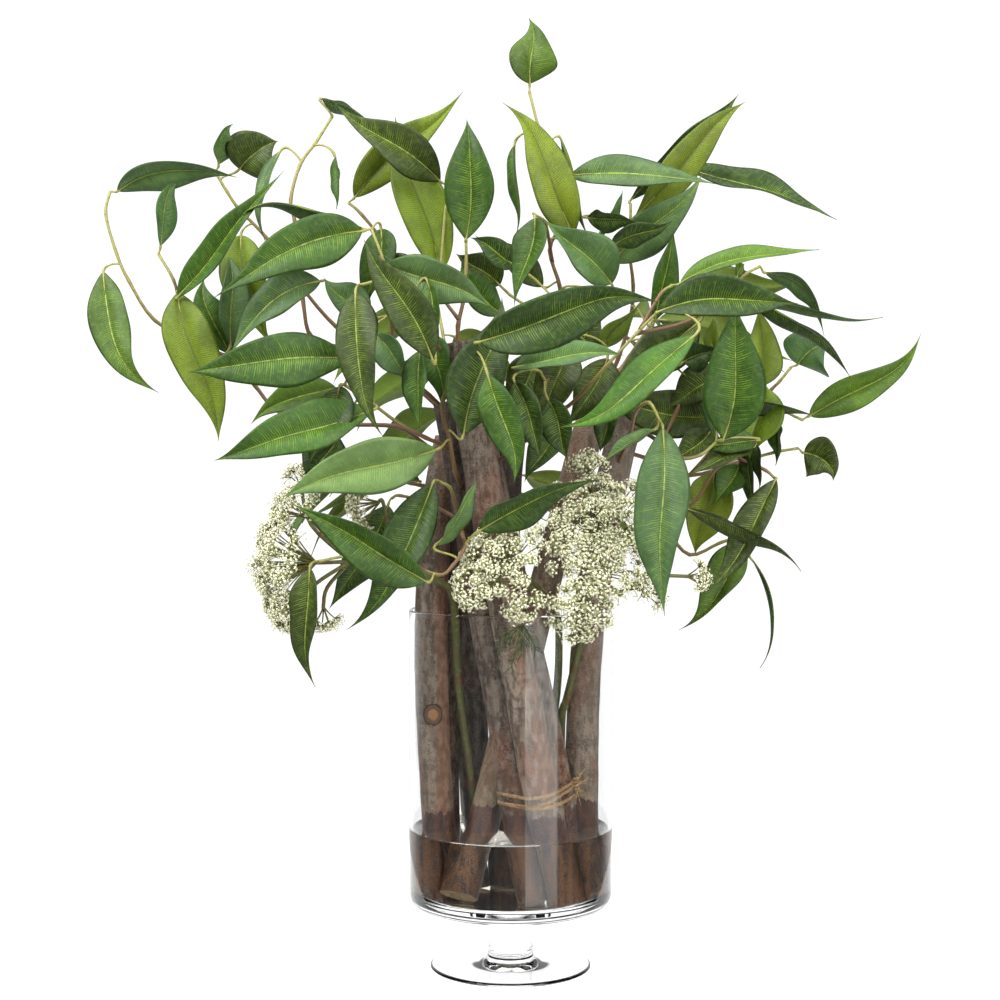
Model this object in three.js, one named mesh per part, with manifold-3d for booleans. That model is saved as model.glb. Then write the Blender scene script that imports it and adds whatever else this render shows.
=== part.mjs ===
// Long-leaved leafy sprays and cream umbels set in bark-covered sticks, in a footed glass cylinder vase.
// Millimetres. The origin is the centre of the foot's underside, +X to the right, +Y away from the
// viewer, +Z up. The arrangement is laid out as it is seen from the front: most points are given by
// what the front view shows, x and z in the plane of the vase's axis, and by how far behind that
// plane they lie, so a point keeps its place in the front view whatever its depth is.
import * as THREE from "three";
import { ConvexGeometry } from "three/addons/geometries/ConvexGeometry.js";
import { mergeVertices } from "three/addons/utils/BufferGeometryUtils.js";
import Module from "manifold-3d";

const wasm = await Module();
wasm.setup();

// The eye that the front view is seen from
const EYE = new THREE.Vector3(-7.8, -1310, 360);

// The vase
const FOOT_RADIUS = 60;
const STEM_RADIUS = 16.5;
const BODY_RADIUS = 75.5;
const BODY_BOTTOM = 46;
const RIM_HEIGHT = 266;
const WALL = 2.5;
const FLOOR = 54.5;
const WATER_LEVEL = 102.5;
const VASE_SIDES = 24;

// Clearances between pieces that touch on the real thing
const GAP = 0.35;
const SOCKET_GAP = 0.4;
const SOCKET_DEPTH = 26;

// Leaves
const BLADE_THICKNESS = 0.8;
const FOLD = THREE.MathUtils.degToRad(17);
const BOW = 0.05;
// How wide a blade is along its midrib, as a share of its full width, up to its pointed tip
const OUTLINE = [[0, 0.1], [0.3, 0.97], [0.66, 0.7]];
const TWIG_SIDES = 3;
const TWIG_RADIUS = 1.7;
const PETIOLE_RADIUS = 0.9;
const SHORTEST_PETIOLE = 5;

// Sticks: a bow through three points, [x, z, depth] at the foot, at the rim's height and at the top
const STICKS = {
  stick_left: { radius: 12, path: [[-49, 61, -8], [-59, 260, -3], [-44, 391, 8]] },
  stick_left_back: { radius: 11.5, path: [[-47, 61, 20], [-51, 260, 27], [-31, 406, 38]] },
  stick_front: { radius: 12.6, path: [[36, 61, -38], [-2, 260, -45], [-39, 464, -54]] },
  stick_middle: { radius: 11.5, path: [[15, 61, -20], [-19, 260, -24], [-46, 420, -28]] },
  stick_leaning: { radius: 12, path: [[-31, 61, -25], [19.2, 260, 40], [70, 437, 80]] },
  stick_inner: { radius: 11, path: [[49, 61, -12], [8, 260, -8], [-29, 420, 0]] },
  stick_right: { radius: 10.8, path: [[54, 61, 12], [59.3, 260, 6], [90, 417, 12]] },
  stick_back: { radius: 10.5, path: [[4, 61, 47], [-5, 260, 53], [0, 391, 62]] },
  stick_back_left: { radius: 10.5, path: [[-21, 61, 42], [-33, 260, 49], [-30, 398, 63]] },
};
const STICK_SIDES = 10;
const STICK_STEPS = 5;

// Leafy sprays. A spray's first twig grows from the named stick's axis at a height; the others fork
// off it. A twig is a row of [x, z, depth]. A leaf is [x, z, depth of the blade's base, x, z, depth
// of its tip, width, arch to the left of its way in the front view, roll about its midrib in degrees].
const SPRAYS = {
  spray_far_left: {
    stick: "stick_left", height: 376,
    twigs: [
      [[-64, 388, -4], [-84, 401, -14], [-123, 403, -20], [-156, 408, -18], [-175, 414, -14],
        [-190, 432, -10], [-207, 451, -8], [-231, 462, -8], [-264, 480, -8], [-283, 509, -10],
        [-292, 529, -10], [-300, 558, -8], [-297, 575, -6]],
      [[-234, 463, -8], [-245, 492, -14], [-250, 510, -16], [-261, 529, -12]],
    ],
    leaves: [
      [-297, 577, -4, -203, 588, -20, 34, 9, -45],
      [-262, 531, -12, -248, 587, -18, 32, 7, 35],
      [-302, 516, -12, -263, 424, -34, 32, -13, 15],
      [-254, 505, -18, -213, 391, -34, 40, -1, 12],
      [-247, 497, -24, -164, 586, -46, 26, 4, -30],
      [-208, 462, -4, -211, 532, 10, 28, -3, 30],
      [-208, 455, -2, -231, 512, 4, 30, 3, 20],
    ],
  },
  spray_left_top: {
    stick: "stick_left_back", height: 392,
    twigs: [
      [[-50, 412, 34], [-82, 440, 34], [-127, 473, 30], [-156, 506, 30], [-180, 540, 26],
        [-201, 562, 22], [-210, 575, 20], [-219, 590, 18]],
    ],
    leaves: [
      [-201, 592, 24, -173, 614, 14, 46, 2, 0],
      [-224, 593, 18, -207, 627, 8, 28, 4, 50],
      [-200, 543, 24, -181, 458, 14, 38, -3, 8],
    ],
  },
  spray_upper_left: {
    stick: "stick_middle", height: 408,
    twigs: [
      [[-60, 424, -40], [-82, 442, -48], [-119, 458, -47], [-147, 467, -44], [-154, 495, -44],
        [-160, 553, -40], [-163, 569, -38], [-156, 595, -34], [-144, 612, -30], [-132, 631, -26]],
      [[-86, 443, -48], [-90, 495, -62], [-94, 523, -66], [-103, 547, -62]],
    ],
    leaves: [
      [-140, 644, -26, -106, 625, -20, 20, 4, 60],
      [-170, 606, -30, -178, 538, -24, 18, -11, 62],
      [-130, 601, -36, -127, 562, -36, 18, 1, 66],
      [-98, 549, -60, -205, 562, -50, 24, -9, -64],
      [-110, 546, -66, -219, 493, -84, 38, -10, 12],
      [-141, 509, -62, -210, 453, -72, 30, -10, 30],
      [-104, 483, -52, -140, 511, -46, 28, 2, 25],
    ],
  },
  spray_left: {
    stick: "stick_middle", height: 380,
    twigs: [
      [[-49, 387, -48], [-63, 393, -62], [-82, 403, -72], [-101, 417, -74], [-123, 432, -70]],
    ],
    leaves: [
      [-118, 451, -82, -241, 441, -104, 38, -4, 15],
      [-101, 414, -84, -217, 369, -110, 38, -4, 20],
      [-127, 431, -76, -152, 373, -90, 32, 2, 20],
      [-123, 436, -66, -196, 405, -70, 26, -4, 35],
      [-127, 393, -60, -149, 358, -66, 38, -2, 10],
    ],
  },
  spray_centre_left: {
    stick: "stick_front", height: 444,
    twigs: [
      [[-54, 460, -70], [-62, 475, -76], [-75, 495, -78], [-93, 509, -78], [-112, 506, -80]],
    ],
    leaves: [
      [-115, 500, -92, -101, 391, -112, 32, -4, 15],
      [-58, 451, -104, -113, 538, -118, 32, -4, 10],
      [-100, 469, -70, -75, 436, -80, 24, 1, 25],
      [-93, 521, -70, -14, 489, -84, 34, 3, 15],
      [-62, 510, -82, -55, 454, -92, 22, 1, 35],
      [-67, 458, -88, -70, 400, -100, 22, 0, 35],
      [-64, 497, -46, -112, 527, -40, 36, -3, 10],
    ],
  },
  spray_upper_middle: {
    stick: "stick_front", height: 456,
    twigs: [
      [[-39, 476, -54], [-35, 495, -52], [-33, 519, -52], [-33, 540, -56]],
      [[-38, 480, -54], [-52, 500, -48], [-52, 515, -44], [-47, 580, -40]],
      [[-50, 495, -50], [-82, 525, -20], [-110, 558, -10], [-120, 567, -8]],
    ],
    leaves: [
      [-47, 580, -42, -135, 639, -66, 34, -3, 15],
      [-120, 567, -8, -32, 648, 6, 36, 3, 10],
      [-52, 515, -36, -84, 633, -26, 38, 2, 10],
      [-33, 540, -66, -30, 630, -74, 38, -2, 0],
    ],
  },
  spray_top: {
    stick: "stick_back", height: 380,
    twigs: [
      [[14, 406, 54], [31, 436, 40], [37, 473, 24], [37, 503, 4], [29, 532, 2], [38, 553, 0],
        [41, 581, 0], [34, 599, 0], [22, 620, 0], [14, 649, 0]],
      [[31, 523, 3], [26, 551, -24], [17, 559, -34]],
    ],
    leaves: [
      [14, 650, 0, 16, 705, -6, 36, -1, 5],
      [46, 543, -14, 0, 646, -18, 34, -3, 10],
      [3, 610, 6, 6, 541, 10, 22, 1, 72],
      [37, 615, 4, 56, 540, 14, 22, 2, 72],
      [44, 587, -10, 153, 581, -34, 30, 4, -35],
      [18, 556, -40, 0, 492, -56, 28, 3, 25],
      [75, 507, -30, 22, 553, -48, 38, -3, 10],
      [24, 505, 8, -28, 540, 2, 26, -3, 25],
    ],
  },
  spray_upper_right: {
    stick: "stick_leaning", height: 404,
    twigs: [
      [[68, 424, 46], [80, 452, 42], [89, 482, 42], [91, 506, 34], [88, 532, 26], [89, 553, 22],
        [89, 566, 24]],
      [[89, 540, 24], [107, 577, 34], [126, 595, 38]],
    ],
    leaves: [
      [89, 569, 34, 173, 644, 44, 32, 4, 40],
      [87, 553, 18, 170, 647, 10, 36, -1, 15],
      [75, 523, 4, 145, 588, -8, 34, -1, 15],
      [126, 595, 34, 239, 549, 14, 26, 7, -45],
      [57, 556, -2, 96, 550, -16, 20, 2, 30],
      [75, 535, -14, 122, 551, -26, 20, 2, 30],
      [64, 540, 22, 85, 575, 26, 16, 1, 62],
      [107, 480, 0, 119, 549, -6, 24, -2, 25],
    ],
  },
  spray_right: {
    stick: "stick_inner", height: 388,
    twigs: [
      [[0, 400, -12], [22, 412, -24], [39, 414, -36], [55, 428, -48], [70, 445, -58],
        [96, 473, -64], [109, 486, -68]],
      [[93, 470, -62], [133, 480, -50], [162, 503, -40], [174, 514, -36], [185, 520, -32]],
      [[96, 473, -64], [111, 499, -56], [120, 506, -52]],
    ],
    leaves: [
      [120, 506, -54, 231, 534, -58, 28, 6, -48],
      [184, 519, -30, 228, 468, -22, 26, 15, 42],
      [168, 504, -38, 174, 522, -34, 14, 1, 50],
      [109, 486, -74, 215, 493, -88, 34, 6, -15],
      [167, 505, -40, 251, 436, -30, 20, 9, 62],
      [174, 492, -36, 274, 475, -24, 16, 4, 66],
      [137, 469, -102, 39, 393, -120, 30, 3, 25],
      [139, 478, -20, 72, 420, -48, 38, -3, 10],
    ],
  },
  spray_far_right: {
    stick: "stick_right", height: 384,
    twigs: [
      [[103, 377, 16], [133, 365, 20], [170, 375, 14], [196, 382, 8], [213, 385, 4]],
      [[133, 365, 20], [156, 391, 20], [174, 406, 14], [196, 414, 8], [217, 406, 0]],
      [[174, 406, 14], [193, 428, 14], [199, 434, 12], [208, 445, 10]],
    ],
    leaves: [
      [207, 447, 10, 237, 462, -6, 44, 4, 5],
      [217, 406, -4, 309, 466, -24, 29, -5, 15],
      [129, 430, 8, 227, 406, -4, 24, 3, 52],
      [189, 430, 10, 174, 375, 0, 36, 1, 10],
      [213, 385, 2, 244, 363, -10, 46, 4, 5],
      [199, 405, 4, 197, 372, 4, 18, 1, 55],
    ],
  },
  spray_right_middle: {
    stick: "stick_right", height: 402,
    twigs: [
      [[101, 396, -8], [112, 388, -30], [126, 378, -46], [141, 380, -54], [153, 390, -54]],
      [[112, 388, -30], [122, 410, -26], [136, 436, -18], [156, 437, -14]],
    ],
    leaves: [
      [158, 392, -64, 170, 497, -72, 46, -3, 5],
      [184, 430, -30, 186, 492, -30, 28, -2, 22],
      [150, 458, -34, 151, 486, -34, 22, 1, 35],
      [157, 432, -34, 150, 391, -42, 24, 1, 25],
      [183, 391, -46, 141, 388, -50, 22, 1, 35],
      [156, 410, -20, 66, 421, -8, 38, 4, 15],
      [128, 449, -46, 157, 458, -56, 26, 2, 20],
      [160, 438, -26, 116, 414, -20, 30, -3, 15],
    ],
  },
  spray_lower_right: {
    stick: "stick_right", height: 346,
    twigs: [
      [[96, 343, 2], [115, 325, -4], [133, 306, -10], [156, 315, -14], [176, 321, -16]],
      [[96, 343, 2], [133, 343, -16], [152, 369, -24], [169, 378, -26], [179, 386, -28]],
      [[169, 378, -26], [189, 369, -30], [197, 362, -30]],
    ],
    leaves: [
      [197, 362, -36, 147, 278, -52, 28, 4, 20],
      [176, 317, -14, 128, 247, -26, 32, 6, 20],
      [130, 341, -40, 220, 298, -60, 24, 4, 45],
      [178, 304, -14, 192, 219, -10, 16, 10, 68],
      [174, 391, -20, 179, 332, -24, 20, 1, 60],
      [182, 388, -34, 187, 354, -38, 18, 1, 60],
      [179, 386, -44, 132, 365, -58, 24, -1, 50],
      [170, 373, -14, 152, 343, -20, 26, 1, 15],
      [152, 369, 0, 133, 307, -4, 38, 2, 5],
    ],
  },
  spray_front_right: {
    stick: "stick_right", height: 366,
    twigs: [
      [[88, 392, -22], [93, 412, -60], [103, 419, -88], [112, 403, -98]],
    ],
    leaves: [
      [113, 400, -106, 120, 261, -126, 38, -4, 0],
      [107, 399, -86, 68, 375, -92, 18, -1, 60],
    ],
  },
  spray_front: {
    stick: "stick_middle", height: 352,
    twigs: [
      [[-41, 368, -56], [-45, 391, -68], [-51, 417, -74], [-41, 440, -84], [-23, 462, -96]],
    ],
    leaves: [
      [-17, 440, -108, 5, 358, -114, 28, 3, 15],
      [-35, 395, -92, 1, 495, -84, 40, 3, 5],
      [-23, 464, -118, 110, 504, -140, 40, 3, 5],
      [-55, 384, -84, -169, 346, -112, 38, -4, -10],
    ],
  },
  spray_centre_right: {
    stick: "stick_inner", height: 370,
    twigs: [
      [[2, 384, -14], [14, 394, -30], [20, 414, -44], [26, 432, -54], [22, 442, -62]],
      [[26, 432, -54], [37, 458, -44], [48, 469, -40]],
    ],
    leaves: [
      [28, 421, -72, 41, 376, -80, 28, 2, 20],
      [3, 434, -78, 23, 376, -86, 26, 2, 20],
      [3, 521, -20, -30, 542, -30, 24, -1, 25],
      [-8, 506, -4, -41, 529, -12, 28, -1, 15],
      [3, 445, -70, 85, 454, -84, 28, 4, -40],
      [67, 459, -20, 96, 493, -26, 20, 1, 40],
      [49, 458, -6, 70, 489, -8, 28, 1, 20],
      [45, 462, -50, 22, 398, -44, 34, -2, 10],
      [72, 452, -24, 42, 400, -20, 34, 2, 10],
      [20, 458, -40, -2, 402, -36, 32, 1, 12],
    ],
  },
  spray_lower_left: {
    stick: "stick_middle", height: 318,
    twigs: [
      [[-38, 332, -50], [-42, 347, -62], [-45, 356, -70], [-52, 360, -74]],
      [[-38, 332, -50], [-36, 322, -80], [-34, 312, -94], [-43, 298, -98], [-54, 291, -98],
        [-82, 302, -88], [-119, 305, -88], [-143, 301, -92]],
      [[-38, 332, -50], [-60, 344, -34], [-82, 350, -24], [-88, 348, -20]],
    ],
    leaves: [
      [-58, 359, -82, -115, 244, -84, 36, 4, 10],
      [-62, 286, -106, -165, 341, -118, 36, -3, -15],
      [-56, 313, -94, -23, 362, -98, 20, -2, 55],
      [-23, 324, -98, 68, 364, -106, 28, 4, 30],
      [-89, 347, -16, -136, 264, -18, 34, 3, 10],
      [-149, 296, -100, -147, 206, -100, 26, -4, 35],
    ],
  },
};

// Sprays on the side that the front view hides: each leans out of its stick at a bearing, measured
// from straight back towards the right, and its leaves alternate from side to side and hang
const BACK_SPRAYS = {
  spray_back_left: { stick: "stick_left_back", height: 352, bearing: -90, reach: 76, rise: 18, leaves: 5 },
  spray_back_middle: { stick: "stick_back_left", height: 376, bearing: -20, reach: 74, rise: 126, leaves: 5 },
  spray_back: { stick: "stick_back", height: 336, bearing: 8, reach: 86, rise: 34, leaves: 5 },
  spray_back_right: { stick: "stick_leaning", height: 424, bearing: 46, reach: 84, rise: 88, leaves: 6 },
};
const BACK_LEAF = { length: 112, width: 34 };

// Flower stems stand in the water, and each head's stalk forks off the stem or goes on from its end.
// A stalk is a row of [x, z, depth] that ends at the head's hub. The middle is that of the dome's rim.
const STEM_SIDES = 6;
const FLOWER_STEM_RADIUS = 3.6;
const FLOWER_STEM_END_RADIUS = 2.2;
const STALK_RADIUS = 1.6;
const STALK_END_RADIUS = 1.1;
const STALK_SIDES = 4;
const STALK_INTO_HEAD = 0.45;
const FLOWERS = {
  flower_left: {
    stem: [[-22, 62, 20], [-29, 135, 6], [-38, 206, -8], [-41, 260, -20], [-45, 280, -32],
      [-64, 291, -42], [-90, 299, -46], [-119, 301, -48]],
    heads: [
      { radius: 39, florets: 27, middle: [-172, 302, -60], stalk: [[-119, 301, -48], [-142, 300, -49]] },
      { radius: 21, florets: 13, middle: [-161, 345, -73],
        stalk: [[-119, 301, -48], [-134, 317, -56], [-147, 331, -64]] },
      { radius: 22, florets: 12, middle: [-168, 264, -56],
        stalk: [[-119, 301, -48], [-140, 288, -49], [-153, 277, -51]] },
      { radius: 18, florets: 10, middle: [-112, 340, -42],
        stalk: [[-90, 299, -46], [-91, 325, -40], [-95, 346, -38]] },
      { radius: 13, florets: 8, middle: [-156, 366, -40],
        stalk: [[-119, 301, -48], [-148, 328, -42], [-155, 354, -38]] },
      { radius: 12, florets: 8, middle: [-138, 256, -44],
        stalk: [[-119, 301, -48], [-136, 282, -44], [-139, 268, -44]] },
    ],
  },
  flower_middle: {
    stem: [[22, 62, 16], [24, 135, 10], [34, 200, 4], [36, 242, -4], [34, 262, -22], [26, 276, -52]],
    heads: [
      { radius: 36, florets: 25, middle: [-8, 302, -84],
        stalk: [[26, 276, -52], [12, 290, -66], [0, 295, -72]] },
      { radius: 17, florets: 10, middle: [-30, 284, -90],
        stalk: [[26, 276, -52], [4, 284, -70], [-16, 285, -80]] },
      { radius: 15, florets: 9, middle: [7, 267, -92],
        stalk: [[26, 276, -52], [18, 274, -76], [10, 273, -84]] },
    ],
  },
  flower_right: {
    stem: [[42, 65, 30], [38, 135, 24], [38, 184, 2], [42, 200, -6], [53, 246, -16], [58, 272, -26],
      [62, 298, -32]],
    heads: [
      { radius: 50, florets: 32, middle: [64, 329, -56], stalk: [[62, 298, -32], [62, 312, -38]] },
      { radius: 33, florets: 19, middle: [62, 298, -82],
        stalk: [[58, 272, -26], [60, 286, -44], [61, 292, -58]] },
      { radius: 26, florets: 14, middle: [52, 263, -86],
        stalk: [[58, 272, -26], [55, 276, -50], [54, 272, -68]] },
      { radius: 16, florets: 9, middle: [56, 374, -30],
        stalk: [[62, 298, -32], [60, 345, -26], [58, 362, -28]] },
      { radius: 19, florets: 11, middle: [103, 283, -60],
        stalk: [[60, 285, -29], [76, 278, -42], [91, 281, -50]] },
      { radius: 11, florets: 8, middle: [141, 290, -43],
        stalk: [[62, 298, -32], [96, 292, -40], [130, 290, -42]] },
    ],
  },
};
const DOME = 0.42;
const FLORET = 0.11;

// Raffia tied round three of the sticks: turns at heights that climb to the right
const TIE_STICKS = ["stick_front", "stick_inner", "stick_middle"];
const STRAND_RADIUS = 0.9;
const TURNS = [{ height: 129, climb: 0.22 }, { height: 124, climb: 0.34 }, { height: 121, climb: 0.2 }];
const TURN_STEPS = 12;
const TURN_CLEARANCE = 1.4;
const BUNDLE_RADIUS = 26;
const HIGH_SIDE = 0.2;

const GLASS = { color: 0xe8f0f0, roughness: 0.03, metalness: 0 };
const WATER = { color: 0xb9c4c0, roughness: 0.02, metalness: 0 };
const BARK = { color: 0x6a5748, roughness: 0.85, metalness: 0 };
const RAFFIA = { color: 0xc9a978, roughness: 0.9, metalness: 0 };
const LEAF = { color: 0x3f6a2c, roughness: 0.5, metalness: 0 };
const FLORETS = { color: 0xdcdcbc, roughness: 0.9, metalness: 0 };

const UP = new THREE.Vector3(0, 0, 1);

// The place of a point that the front view shows at x and z, when it lies at a depth
function seen([x, z, depth]) {
  const scale = (depth - EYE.y) / -EYE.y;
  return new THREE.Vector3(EYE.x + (x - EYE.x) * scale, depth, EYE.z + (z - EYE.z) * scale);
}

// A closed geometry as a solid that can be joined and cut, without its collapsed triangles
function solidOf(geometry) {
  geometry.deleteAttribute("normal");
  geometry.deleteAttribute("uv");
  const merged = mergeVertices(geometry, 1e-4);
  const vertProperties = new Float32Array(merged.attributes.position.array);
  const corners = Array.from(merged.index.array);
  const triangles = corners.flatMap((a, i) => (i % 3 ? [] : [[a, corners[i + 1], corners[i + 2]]]));
  const triVerts = new Uint32Array(triangles.filter((triangle) => new Set(triangle).size === 3).flat());
  return new wasm.Manifold(new wasm.Mesh({ numProp: 3, vertProperties, triVerts }));
}

function geometryOf(solid) {
  const mesh = solid.getMesh();
  const geometry = new THREE.BufferGeometry();
  geometry.setAttribute("position", new THREE.BufferAttribute(mesh.vertProperties, 3));
  geometry.setIndex(new THREE.BufferAttribute(mesh.triVerts, 1));
  return geometry;
}

function join(solids) {
  return solids.reduce((whole, piece) => whole.add(piece));
}

// A solid through rings of equally many points, each ring counter-clockwise seen from its far side.
// In the columns that `turned` names, the quads are split along their other diagonal.
function loft(rings, turned = []) {
  const count = rings[0].length;
  const positions = rings.flat().flatMap((point) => [point.x, point.y, point.z]);
  const index = [];
  for (let i = 0; i + 1 < rings.length; i++) {
    for (let j = 0; j < count; j++) {
      const a = i * count + j;
      const b = i * count + ((j + 1) % count);
      const c = b + count;
      const d = a + count;
      if (turned.includes(j)) index.push(a, b, d, b, c, d);
      else index.push(a, b, c, a, c, d);
    }
  }
  const last = (rings.length - 1) * count;
  for (let j = 1; j + 1 < count; j++) {
    index.push(0, j + 1, j, last, last + j, last + j + 1);
  }
  const geometry = new THREE.BufferGeometry();
  geometry.setAttribute("position", new THREE.Float32BufferAttribute(positions, 3));
  geometry.setIndex(index);
  return solidOf(geometry);
}

// A round bar along a row of points, with a radius at each point
function bar(points, radii, sides) {
  const rings = [];
  let across = null;
  points.forEach((point, i) => {
    const before = points[Math.max(i - 1, 0)];
    const after = points[Math.min(i + 1, points.length - 1)];
    const way = after.clone().sub(before).normalize();
    if (!across) across = Math.abs(way.z) < 0.8 ? UP.clone() : new THREE.Vector3(1, 0, 0);
    across.addScaledVector(way, -across.dot(way)).normalize();
    const third = way.clone().cross(across);
    const ring = [];
    for (let k = 0; k < sides; k++) {
      const angle = (2 * Math.PI * k) / sides;
      ring.push(point.clone()
        .addScaledVector(across, radii[i] * Math.cos(angle))
        .addScaledVector(third, radii[i] * Math.sin(angle)));
    }
    rings.push(ring);
  });
  return loft(rings);
}

// A bar whose radius changes evenly from its first point to its last
function taperedBar(points, first, last, sides) {
  const radii = points.map((point, i) => first + ((last - first) * i) / (points.length - 1));
  return bar(points, radii, sides);
}

// The axis of a stick, a curve that passes its three points at 0, a half and 1
function stickAxis(name) {
  const [foot, middle, top] = STICKS[name].path.map(seen);
  const tilt = Math.hypot(middle.x - foot.x, middle.y - foot.y) / (middle.z - foot.z);
  foot.lerp(middle, (FLOOR + 0.7 + STICKS[name].radius * tilt - foot.z) / (middle.z - foot.z));
  const control = middle.clone().multiplyScalar(2).addScaledVector(foot, -0.5).addScaledVector(top, -0.5);
  return new THREE.QuadraticBezierCurve3(foot, control, top);
}

// Where a stick's axis is at a height
function axisAt(name, height) {
  const axis = stickAxis(name);
  let low = 0;
  let high = 1;
  for (let i = 0; i < 30; i++) {
    const middle = (low + high) / 2;
    if (axis.getPoint(middle).z < height) low = middle;
    else high = middle;
  }
  return axis.getPoint(low);
}

// A bark-covered stick, a little uneven in girth, or the hole that it needs with some clearance
function stick(name, clearance = 0, longer = 0) {
  const axis = stickAxis(name);
  const order = Object.keys(STICKS).indexOf(name);
  const points = axis.getPoints(STICK_STEPS);
  points[0].addScaledVector(axis.getTangent(0), -longer);
  const radii = points.map((point, i) => {
    const swell = 0.03 * Math.sin(2.3 * i + 1.7 * order) + 0.02 - (0.05 * i) / STICK_STEPS;
    return STICKS[name].radius * (1 + swell) + clearance;
  });
  return bar(points, radii, STICK_SIDES);
}

// The nearest point to a place on a set of twigs
function nearestOn(twigs, place) {
  let nearest = null;
  for (const twig of twigs) {
    for (let i = 0; i + 1 < twig.length; i++) {
      const stretch = new THREE.Line3(twig[i], twig[i + 1]);
      const point = stretch.closestPointToPoint(place, true, new THREE.Vector3());
      if (!nearest || point.distanceTo(place) < nearest.distanceTo(place)) nearest = point;
    }
  }
  return nearest;
}

// A leaf with its petiole. The blade's midrib bends in a plain curve, its halves are folded up along
// the midrib, and the whole blade is rolled about it from facing the way that `facing` points.
function leaf(twigs, base, tip, facing, [width, arch, roll]) {
  const root = nearestOn(twigs, base);
  const chord = tip.clone().sub(base);
  if (root.distanceTo(base) < SHORTEST_PETIOLE) {
    base = root.clone().addScaledVector(chord.clone().normalize(), SHORTEST_PETIOLE);
  }
  const left = facing.clone().cross(chord).normalize();
  const out = chord.clone().cross(left).normalize();
  const control = base.clone().lerp(tip, 0.5)
    .addScaledVector(left, 2 * arch)
    .addScaledVector(out, 2 * BOW * chord.length());
  const midrib = new THREE.QuadraticBezierCurve3(base, control, tip);
  const angle = THREE.MathUtils.degToRad(roll);
  const rings = OUTLINE.map(([along, share]) => {
    const way = midrib.getTangent(along);
    const flatSide = facing.clone().cross(way).normalize();
    const flatUp = way.clone().cross(flatSide);
    const side = flatSide.clone().multiplyScalar(Math.cos(angle)).addScaledVector(flatUp, Math.sin(angle));
    const half = (share * width) / 2;
    return bladeRing(midrib.getPoint(along), side, way.clone().cross(side), half, BLADE_THICKNESS / 2);
  });
  const way = base.clone().sub(root).normalize();
  const side = rings[0][4].clone().sub(rings[0][2]);
  side.addScaledVector(way, -side.dot(way)).normalize();
  const up = way.clone().cross(side);
  const beside = (direction, sign) => root.clone().addScaledVector(direction, sign * PETIOLE_RADIUS);
  const [over, under, nearEdge, farEdge] = [beside(up, 1), beside(up, -1), beside(side, -1), beside(side, 1)];
  rings.unshift([over, nearEdge, nearEdge, under, farEdge, farEdge]);
  rings.push(Array(6).fill(tip));
  return loft(rings, [2, 5]);
}

// A section of a leaf: its two faces, folded up from the midrib to both edges
function bladeRing(centre, side, up, half, thick) {
  const across = half * Math.cos(FOLD);
  const lift = half * Math.sin(FOLD);
  const corner = (x, z) => centre.clone().addScaledVector(side, x).addScaledVector(up, z);
  return [corner(0, thick), corner(-across, lift + thick), corner(-across, lift - thick),
    corner(0, -thick), corner(across, lift - thick), corner(across, lift + thick)];
}

// The hole in a stick for a twig's end, along the twig's first stretch
function socket(twig) {
  const [inner, outer] = twig;
  const way = outer.clone().sub(inner).normalize();
  const start = inner.clone().addScaledVector(way, -TWIG_RADIUS - 1);
  const end = inner.clone().addScaledVector(way, SOCKET_DEPTH);
  return taperedBar([start, end], TWIG_RADIUS + SOCKET_GAP, TWIG_RADIUS + SOCKET_GAP, TWIG_SIDES);
}

function spraySolid(twigs, leaves) {
  const bars = twigs.map((twig, i) => {
    const first = i === 0 ? TWIG_RADIUS : TWIG_RADIUS * 0.75;
    return taperedBar(twig, first, TWIG_RADIUS * 0.6, TWIG_SIDES);
  });
  return join([...bars, ...leaves]);
}

// A spray that the front view shows
function frontSpray({ stick: name, height, twigs, leaves }) {
  const rows = twigs.map((twig) => twig.map(seen));
  rows[0].unshift(axisAt(name, height));
  const blades = leaves.map((row) => {
    const base = seen(row.slice(0, 3));
    const tip = seen(row.slice(3, 6));
    return leaf(rows, base, tip, EYE.clone().sub(base).normalize(), row.slice(6));
  });
  return { solid: spraySolid(rows, blades), hole: { stick: name, solid: socket(rows[0]) } };
}

// A spray on the hidden side, with its leaves by a rule and a seeded draw
function backSpray({ stick: name, height, bearing, reach, rise, leaves }, seed) {
  let state = seed;
  const draw = (low, high) => {
    state = (state * 16807) % 2147483647;
    return low + ((high - low) * state) / 2147483647;
  };
  const turn = THREE.MathUtils.degToRad(bearing);
  const outward = new THREE.Vector3(Math.sin(turn), Math.cos(turn), 0);
  const sideways = new THREE.Vector3(Math.cos(turn), -Math.sin(turn), 0);
  const start = axisAt(name, height);
  const elbow = start.clone().addScaledVector(outward, 0.5 * reach).addScaledVector(UP, 0.45 * rise);
  const end = start.clone().addScaledVector(outward, reach).addScaledVector(UP, rise);
  const twig = new THREE.QuadraticBezierCurve3(start, elbow, end).getPoints(7);
  const blades = [];
  for (let i = 0; i < leaves; i++) {
    const along = 0.34 + (0.66 * i) / (leaves - 1);
    const side = i % 2 ? 1 : -1;
    const from = new THREE.QuadraticBezierCurve3(start, elbow, end).getPoint(along);
    const base = from.clone().addScaledVector(sideways, side * draw(7, 11)).addScaledVector(UP, draw(-3, 5));
    const way = outward.clone().multiplyScalar(draw(0.3, 0.8))
      .addScaledVector(sideways, side * draw(0.45, 0.95))
      .addScaledVector(UP, draw(-0.75, 0.05))
      .normalize();
    const tip = base.clone().addScaledVector(way, BACK_LEAF.length * draw(0.85, 1.1));
    const facing = outward.clone().addScaledVector(UP, 0.7).normalize();
    const shape = [BACK_LEAF.width * draw(0.9, 1.1), draw(-4, 4), draw(-20, 20)];
    blades.push(leaf([twig], base, tip, facing, shape));
  }
  return { solid: spraySolid([twig], blades), hole: { stick: name, solid: socket(twig) } };
}

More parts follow.
